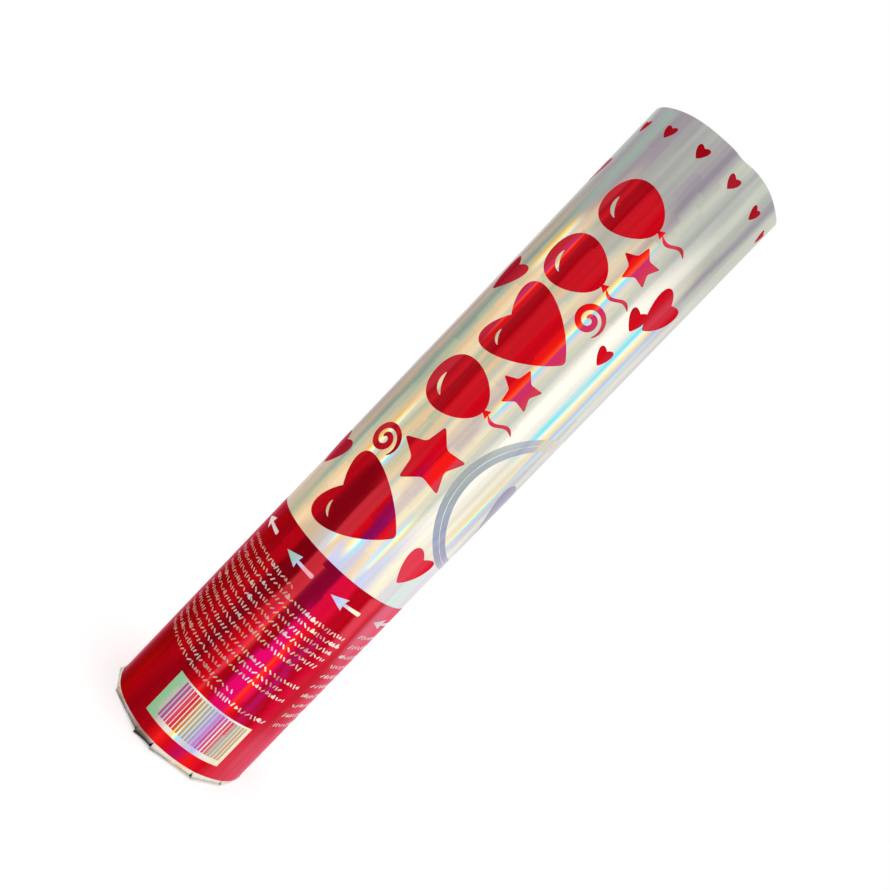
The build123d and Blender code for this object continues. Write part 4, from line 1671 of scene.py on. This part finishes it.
@dataclass
class BarrelPrint:
    """What is printed on the barrel: hearts all over, party shapes along the front and the back."""

    skin: FoilSkin = FoilSkin()
    rim_heart: Heart = Heart(24)
    rim_hearts: int = 13
    rim_height: float = 233.4
    rim_first: float = 14.7
    rim_size: float = 4.1
    hearts: tuple[Place, ...] = (
        Place(-62.0, 174.0, 12.0, -12.0), Place(-69.0, 100.4, 12.0, -10.0),
        Place(45.0, 91.2, 12.0, -10.0), Place(45.5, 194.6, 13.0, -10.0),
        Place(33.8, 188.2, 6.6, 14.0), Place(34.8, 174.4, 5.6, 10.0), Place(100.0, 205.0, 11.0),
        Place(118.0, 178.0, 8.0, 15.0), Place(122.0, 92.0, 11.0), Place(232.0, 118.0, 12.0),
        Place(236.0, 200.0, 12.0, -10.0), Place(227.0, 190.0, 7.0, 12.0),
        Place(236.0, 152.0, 8.0), Place(268.0, 136.0, 9.0), Place(279.0, 216.5, 9.0),
    )
    rows: Pair = (-11.0, 181.0)
    row_turn: float = 90.0
    row_shapes: tuple[RowShape, ...] = (
        RowShape(
            (RowSpot(95.5, -1.0, 26.0), RowSpot(165.0, 0.0, 25.0)),
            (Trim(Heart(64)),),
            (Trim(GLEAM, -0.22, -0.14, 0.38, 65.0),),
        ),
        RowShape(
            (RowSpot(139.5, -5.0, 21.0), RowSpot(188.0, -5.0, 20.0), RowSpot(209.5, -4.0, 20.0)),
            (Trim(Balloon()), Trim(Knot(), down=0.54, size=0.13), Trim(STRING, down=0.8)),
            (Trim(GLEAM, size=0.66, turn=65.0),),
        ),
        RowShape(
            (RowSpot(119.0, 4.0, 21.0), RowSpot(151.0, 9.0, 13.0), RowSpot(199.0, 9.0, 12.0)),
            (Trim(Star()),),
        ),
        RowShape((RowSpot(114.0, -11.0, 13.0), RowSpot(178.5, 9.0, 12.0)), (Trim(CURL),)),
    )
    ring_angle: float = 81.1
    ring_height: float = 122.1
    ring_sizes: Pair = (55.1, 50.5)
    ring_lines: Pair = (2.1, 2.0)
    ring_heart: Heart = Heart(48)
    ring_heart_drop: float = 2.0
    ring_heart_size: float = 19.2

    def build(self) -> list[Object]:
        """Prints the barrel.

        Returns:
            The printed pieces.
        """
        small, big, shine, grey = Plate(), Plate(), Plate.over(), Plate()
        for index in range(self.rim_hearts):
            angle = self.rim_first + TURN / self.rim_hearts * index
            small.press(self.rim_heart, Place(angle, self.rim_height, self.rim_size))
        for place in self.hearts:
            small.press(Heart(), place)
        for middle in self.rows:
            self.party_row(big, shine, middle)
        for size, line in zip(self.ring_sizes, self.ring_lines):
            grey.press(Ring(line / size), Place(self.ring_angle, self.ring_height, size))
        low = self.ring_height - self.ring_heart_drop
        grey.press(self.ring_heart, Place(self.ring_angle, low, self.ring_heart_size))
        return [
            small.print("barrel_hearts", RED_INK, Body.BARREL, Slot.RED_FOIL),
            big.print("barrel_party_shapes", RED_INK, Body.BARREL, Slot.RED_FOIL),
            shine.print("barrel_shine_marks", SILVER_FOIL, Body.BARREL, Slot.SILVER_FOIL),
            grey.print("barrel_grey_ring", GREY_INK, Body.BARREL, Slot.SILVER_FOIL),
        ]

    def party_row(self, big: Plate, shine: Plate, middle: float) -> None:
        """Prints one row of party shapes, which stand upright when the muzzle is to the right.

        Args:
            big: The plate for the shapes.
            shine: The plate for the bare foil that shows in them.
            middle: The angle of the row's middle line.
        """
        for shape in self.row_shapes:
            for spot in shape.spots:
                for plate, trims in ((big, shape.inked), (shine, shape.bare)):
                    for trim in trims:
                        plate.press(trim.outline, self.placed(spot, trim, middle))

    def placed(self, spot: RowSpot, trim: Trim, middle: float) -> Place:
        """Where a mark goes.

        Args:
            spot: The spot in the row.
            trim: The mark.
            middle: The angle of the row's middle line.

        Returns:
            Its place on the barrel.
        """
        height = spot.along + trim.along * spot.size
        down = spot.down + trim.down * spot.size
        angle = middle + math.degrees(down * MM / self.skin.radius)
        return Place(angle, height, trim.size * spot.size, self.row_turn + trim.turn)


@dataclass(frozen=True)
class FleckBlock:
    """Rows of confetti flecks: the angles they lie between, how many rows, how thick a fleck is."""

    start: float
    end: float
    rows: int
    thick: float


@dataclass
class BasePrint:
    """What the red print leaves bare: arrows for the twist, confetti flecks and a striped panel."""

    skin: FoilSkin = FoilSkin()
    arrow_first: float = -60.0
    arrow_pitch: float = 42.8
    arrows: int = 8
    arrow_height: float = 70.6
    arrow_size: float = 11.9
    fleck_low: float = 26.4
    fleck_high: float = 64.4
    fleck_blocks: tuple[FleckBlock, ...] = (
        FleckBlock(-71.0, 43.5, 14, 0.46), FleckBlock(54.0, 98.0, 10, 0.55),
        FleckBlock(118.0, 222.0, 14, 0.46),
    )
    fleck_ends: tuple[float, ...] = (0.0, 0.0, 0.0, 0.08, 0.3, 0.45)
    fleck_lengths: Pair = (2.2, 3.8)
    fleck_turns: Pair = (38.0, 88.0)
    fleck_gaps: Pair = (0.4, 0.9)
    fleck_jog: float = 0.15
    fleck_cut: float = 0.3
    fleck_heart: Heart = Heart(10)
    fleck_hearts: float = 0.1
    panel_from: float = -24.6
    panel_to: float = 41.2
    panel_low: float = 6.9
    panel_high: float = 22.7
    stripes_from: float = -15.0
    stripes_to: float = 37.5
    stripes_low: float = 8.8
    stripes_high: float = 22.0
    stripes: int = 20
    stripe_widths: Triple = (0.7, 0.9, 1.08)
    seed: int = 4

    def build(self) -> list[Object]:
        """Prints the base.

        Returns:
            The printed pieces.
        """
        arrows = Plate()
        for index in range(self.arrows):
            angle = self.arrow_first + index * self.arrow_pitch
            arrows.press(Arrow(), Place(angle, self.arrow_height, self.arrow_size))
        return [
            arrows.print("base_arrows", BARE_FILM, Body.BASE, Slot.SILVER_FOIL),
            self.flecks().print("base_flecks", FLECK_FILM, Body.BASE, Slot.SILVER_FOIL),
            self.panel().print("base_panel", PANEL_FILM, Body.BASE, Slot.SILVER_FOIL),
            self.bars().print("base_panel_stripes", BAR_INK, Body.BASE, Slot.RED_FOIL),
        ]

    def flecks(self) -> Plate:
        """Scatters flecks of confetti in rows.

        Returns:
            The plate with the flecks.
        """
        rng = random.Random(self.seed)
        plate = Plate()
        for block in self.fleck_blocks:
            pitch = (self.fleck_high - self.fleck_low) / (block.rows - 1)
            for row in range(block.rows):
                left_out = rng.choice(self.fleck_ends) * (block.end - block.start)
                angle = block.start
                while angle < block.end - left_out:
                    angle += self.fleck(plate, block, angle, self.fleck_low + pitch * row, rng)
        return plate

    def fleck(
        self, plate: Plate, block: FleckBlock, angle: float, height: float, rng: random.Random
    ) -> float:
        """Presses one fleck, a slanted bar or now and then a small heart.

        Args:
            plate: The plate that takes it.
            block: The block it is in.
            angle: Where its room starts.
            height: The height of its row.
            rng: The source of its length, its slant and the gap after it.

        Returns:
            How many degrees it takes up.
        """
        size = rng.uniform(*self.fleck_lengths) * block.thick
        turn = rng.uniform(*self.fleck_turns) * rng.choice((-1.0, 1.0))
        hearted = rng.random() < self.fleck_hearts
        mark = self.fleck_heart if hearted else Bar(block.thick / size, self.fleck_cut)
        slant = math.radians(turn)
        thick = block.thick * (abs(math.sin(slant)) + rng.uniform(*self.fleck_gaps))
        room = math.degrees((size * math.cos(slant) + thick) * MM / self.skin.radius)
        height += rng.uniform(-self.fleck_jog, self.fleck_jog)
        plate.press(mark, Place(angle + room / 2, height, size, turn))
        return room

    def panel(self) -> Plate:
        """Makes the bare panel.

        Returns:
            The plate with the panel.
        """
        plate = Plate()
        width = math.radians(self.panel_to - self.panel_from) * self.skin.radius / MM
        middle = (self.panel_from + self.panel_to) / 2
        level = (self.panel_low + self.panel_high) / 2
        outline = Bar((self.panel_high - self.panel_low) / width)
        plate.press(outline, Place(middle, level, width))
        return plate

    def bars(self) -> Plate:
        """Makes the evenly spaced stripes on the panel.

        Returns:
            The plate with the stripes.
        """
        plate = Plate.over()
        rng = random.Random(self.seed)
        pitch = (self.stripes_to - self.stripes_from) / (self.stripes - 1)
        tall = self.stripes_high - self.stripes_low
        level = (self.stripes_high + self.stripes_low) / 2
        for index in range(self.stripes):
            wide = rng.choice(self.stripe_widths)
            plate.press(Bar(tall / wide), Place(self.stripes_from + pitch * index, level, wide))
        return plate


class Quarter(Enum):
    """Where a bundle of slips stands in the barrel: its middle and its depth, in millimetres."""

    LEFT = (-10.13, 0.0, 19.5)
    RIGHT = (10.13, 0.0, 19.5)
    FRONT = (0.0, -14.99, 10.08)
    BACK = (0.0, 14.99, 10.08)


@dataclass(frozen=True)
class SlipColour:
    """One colour of slips: its name, its quarters in the two tiers, its paper and its slot."""

    name: str
    quarters: tuple[Quarter, Quarter]
    paper: Paper
    slot: Slot


@dataclass
class ConfettiCharge:
    """Bundles of paper slips in two tiers, each slip a little out of line with the next."""

    colours: tuple[SlipColour, ...] = (
        SlipColour(
            "red", (Quarter.LEFT, Quarter.RIGHT),
            Paper("red_slips", (0.62, 0.008, 0.016)), Slot.RED_PAPER,
        ),
        SlipColour(
            "silver", (Quarter.RIGHT, Quarter.LEFT),
            Paper("silver_slips", (0.66, 0.66, 0.68), 1.0, (0.22, 0.4)), Slot.SILVER_PAPER,
        ),
        SlipColour(
            "pink", (Quarter.FRONT, Quarter.BACK),
            Paper("pink_slips", (0.82, 0.17, 0.32)), Slot.PINK_PAPER,
        ),
        SlipColour(
            "white", (Quarter.BACK, Quarter.FRONT),
            Paper("white_slips", (0.80, 0.79, 0.76)), Slot.WHITE_PAPER,
        ),
    )
    slip_width: float = 19.7 * MM
    slip_length: float = 57.5 * MM
    slip_pitch: float = 0.42 * MM
    paper: float = 0.3 * MM
    low: float = 114.7 * MM
    tier_pitch: float = 58.15 * MM
    tier_middle: float = 28.95 * MM
    jog: float = 0.16 * MM
    lean: float = 0.15
    seed: int = 21

    def build(self) -> list[Object]:
        """Makes the four colours.

        Returns:
            The bundles, one piece for each colour.
        """
        rng = random.Random(self.seed)
        made = []
        for colour in self.colours:
            bm = bmesh.new()
            for tier, quarter in enumerate(colour.quarters):
                self.stack(bm, quarter, self.low + tier * self.tier_pitch, rng)
            node = f"confetti_{colour.name}"
            finishes = [colour.paper]
            made.append(settle(bm, f"{node}_slips", finishes, Body.CONFETTI, node))
        return made

    def stack(self, bm: BMesh, quarter: Quarter, low: float, rng: random.Random) -> None:
        """Stacks one bundle.

        Args:
            bm: The mesh that takes the slips.
            quarter: Where the bundle stands.
            low: The height of its foot.
            rng: The source of the jogging.
        """
        x, y, depth = (value * MM for value in quarter.value)
        count = int(depth / self.slip_pitch)
        size = Matrix.Diagonal((self.slip_width, self.paper, self.slip_length, 1.0))
        for index in range(count):
            along = y + depth * ((index + 0.5) / count - 0.5)
            middle = Vector((x, along, low + self.tier_middle))
            middle.x += rng.uniform(-self.jog, self.jog)
            middle.z += rng.uniform(-self.jog, self.jog)
            lean = Matrix.Rotation(math.radians(rng.uniform(-self.lean, self.lean)), 4, "Y")
            bmesh.ops.create_cube(bm, size=1.0, matrix=Matrix.Translation(middle) @ lean @ size)


@dataclass
class InnerWorks:
    """The card, board, plastic, metal and rubber pieces that keep their CAD shape."""

    tube_seam: float = 62.0 * MM
    sleeve_seam: float = 48.0 * MM

    def finishes(self) -> dict[str, Finish]:
        """The finish of each CAD node.

        Returns:
            The finishes, by the nodes' names.
        """
        tube = Card("tube_card", (0.42, 0.31, 0.20), (0.62, 0.52, 0.38), self.tube_seam)
        sleeve = Card("sleeve_card", (0.48, 0.38, 0.26), (0.66, 0.57, 0.44), self.sleeve_seam)
        board = Card("disc_board", (0.40, 0.39, 0.37), (0.58, 0.56, 0.52))
        black = (0.012, 0.012, 0.013)
        seal = Moulded("seal_rubber", black, (0.5, 0.65), grain=0.03 * MM, sheen=0.15)
        bent, ground = (700.0, 700.0, 700.0), (40.0, 2400.0, 2400.0)
        return {
            "base_tube": tube,
            "barrel_tube": tube,
            "coupling_sleeve": sleeve,
            "centring_ring": sleeve,
            "base_disc": board,
            "wad_card": board,
            "muzzle_disc": Card("cover_card", (0.74, 0.72, 0.68), (0.84, 0.82, 0.78)),
            "cylinder_cradle": Moulded("cradle_plastic", (0.72, 0.72, 0.70), (0.38, 0.5)),
            "air_cylinder": Metal("bottle_aluminium", (0.74, 0.75, 0.76), (0.24, 0.36)),
            "crimp_ferrule": Metal("ferrule_aluminium", (0.80, 0.80, 0.79), (0.2, 0.32)),
            "fill_valve": seal,
            "neck_gasket": seal,
            "stopper_seals": seal,
            "valve_head": Moulded("valve_plastic", (0.06, 0.06, 0.065), (0.32, 0.45)),
            "stopper": Moulded("stopper_plastic", (0.75, 0.10, 0.02), (0.3, 0.42)),
            "thrust_washer": Moulded("washer_plastic", (0.78, 0.77, 0.72), (0.28, 0.4)),
            "retaining_clip": Metal("spring_steel", (0.42, 0.42, 0.44), (0.25, 0.38), bent),
            "cross_pin": Metal("pin_steel", (0.58, 0.58, 0.60), (0.16, 0.28), ground),
            "release_collar": Moulded("collar_plastic", (0.80, 0.79, 0.74), (0.34, 0.46)),
            "wad_foam": Foam("wad_foam_cells", (0.82, 0.82, 0.80)),
        }

    def dress(self, nodes: dict[str, Object]) -> None:
        """Gives every carried-over CAD node its finish.

        Args:
            nodes: The CAD nodes by name.
        """
        for name, finish in self.finishes().items():
            mesh = nodes[name].data
            mesh.materials.clear()
            mesh.materials.append(finish.material())
            log.info("%s: finished as %s", name, finish.name)


@dataclass(frozen=True)
class SoftLamp:
    """A soft lamp: where it hangs, what it faces, its width and height, and its power in watts."""

    name: str
    spot: Triple
    target: Triple
    size: Pair
    power: float

    def hang(self) -> None:
        """Hangs the lamp, out of the camera's sight."""
        data = bpy.data.lights.new(self.name, "AREA")
        data.shape = "RECTANGLE"
        data.size, data.size_y = self.size
        data.energy = self.power
        lamp = bpy.data.objects.new(self.name, data)
        lamp.location = self.spot
        lamp.rotation_mode = "QUATERNION"
        facing = Vector(self.target) - Vector(self.spot)
        lamp.rotation_quaternion = facing.to_track_quat("-Z", "Y")
        lamp.visible_camera = False
        bpy.context.scene.collection.objects.link(lamp)


@dataclass
class Studio:
    """A white floor and backdrop, a tall soft lamp at the right, and one above."""

    floor_radius: float = 0.7
    floor_segments: int = 96
    floor_colours: tuple[Colour, Colour] = ((0.86, 0.86, 0.86), (0.88, 0.88, 0.88))
    floor_tooth: Triple = (300.0, 300.0, 300.0)
    floor_lift: Pair = (0.42, 0.7)
    floor_lift_from: float = 0.1
    floor_roughness: float = 0.9
    ambient: float = 0.62
    lamps: tuple[SoftLamp, ...] = (
        SoftLamp("key_lamp", (0.52, -0.30, 0.22), (0.0, 0.0, 0.15), (0.18, 0.3), 0.08),
        SoftLamp("top_lamp", (0.1, -0.1, 1.1), (0.0, 0.0, 0.0), (0.8, 0.8), 3.2),
    )

    def build(self) -> None:
        """Sets up the floor, the world and the lamps."""
        self.floor()
        self.world()
        for lamp in self.lamps:
            lamp.hang()

    def floor(self) -> None:
        """Lays the floor, with a little light of its own, so that it is white past the shadow."""
        bm = bmesh.new()
        bmesh.ops.create_circle(
            bm, cap_ends=True, radius=self.floor_radius, segments=self.floor_segments
        )
        mesh = bpy.data.meshes.new("floor")
        bm.to_mesh(mesh)
        bm.free()
        board = NodeBoard(bpy.data.materials.new("floor_white"))
        tooth = board.noise(board.scaled(board.place(), self.floor_tooth))
        length = board.node("VectorMath", {0: board.place()}, operation="LENGTH")
        away = length.outputs["Value"]
        lift = board.span(away, self.floor_lift_from, self.floor_radius, *self.floor_lift)
        board.surface(
            Base_Color=board.between(tooth, NOISE_RANGE, *self.floor_colours),
            Roughness=self.floor_roughness,
            Specular_IOR_Level=0.0,
            Emission_Color=(*WHITE, 1.0),
            Emission_Strength=board.math("MULTIPLY", board.seen(), lift),
        )
        mesh.materials.append(board.owner)
        floor = bpy.data.objects.new("floor", mesh)
        bpy.context.scene.collection.objects.link(floor)

    def world(self) -> None:
        """White to the camera and in reflections, and a soft light to everything else."""
        board = NodeBoard(bpy.data.worlds.new("studio"), "Background")
        bpy.context.scene.world = board.owner
        light = {"Value": board.seen(), "To Min": self.ambient, "To Max": 1.0}
        board.surface(Color=(*WHITE, 1.0), Strength=board.node("MapRange", light).outputs[0])


@dataclass
class PhotoCamera:
    """The camera, level with the barrel, rolled so that the muzzle points to the upper right."""

    eye: Triple = (0.0, -0.27008, 0.13959)
    forward: Triple = (-0.003, 0.998, -0.0598)
    roll: float = math.radians(43.88)
    lens: float = 34.7
    sensor: float = 36.0
    clip: Pair = (0.01, 50.0)

    def build(self) -> Object:
        """Places the camera.

        Returns:
            The camera.
        """
        data = bpy.data.cameras.new("photo_camera")
        data.lens = self.lens
        data.sensor_width = self.sensor
        data.clip_start, data.clip_end = self.clip
        camera = bpy.data.objects.new("photo_camera", data)
        camera.location = self.eye
        camera.rotation_mode = "QUATERNION"
        level = Vector(self.forward).to_track_quat("-Z", "Y")
        camera.rotation_quaternion = level @ Quaternion((0.0, 0.0, 1.0), self.roll)
        bpy.context.scene.collection.objects.link(camera)
        bpy.context.scene.camera = camera
        return camera


def main() -> None:
    """Builds the popper's looks, then the studio and the camera."""
    logging.basicConfig(level=logging.INFO, format="%(name)s: %(message)s")
    bpy.context.scene.view_settings.view_transform = "Standard"
    InnerWorks().dress(frame["nodes"])
    BarrelFoil().build()
    BaseFoil().build()
    BarrelPrint().build()
    BasePrint().build()
    ConfettiCharge().build()
    Studio().build()
    PhotoCamera().build()


if __name__ == "__main__":
    main()
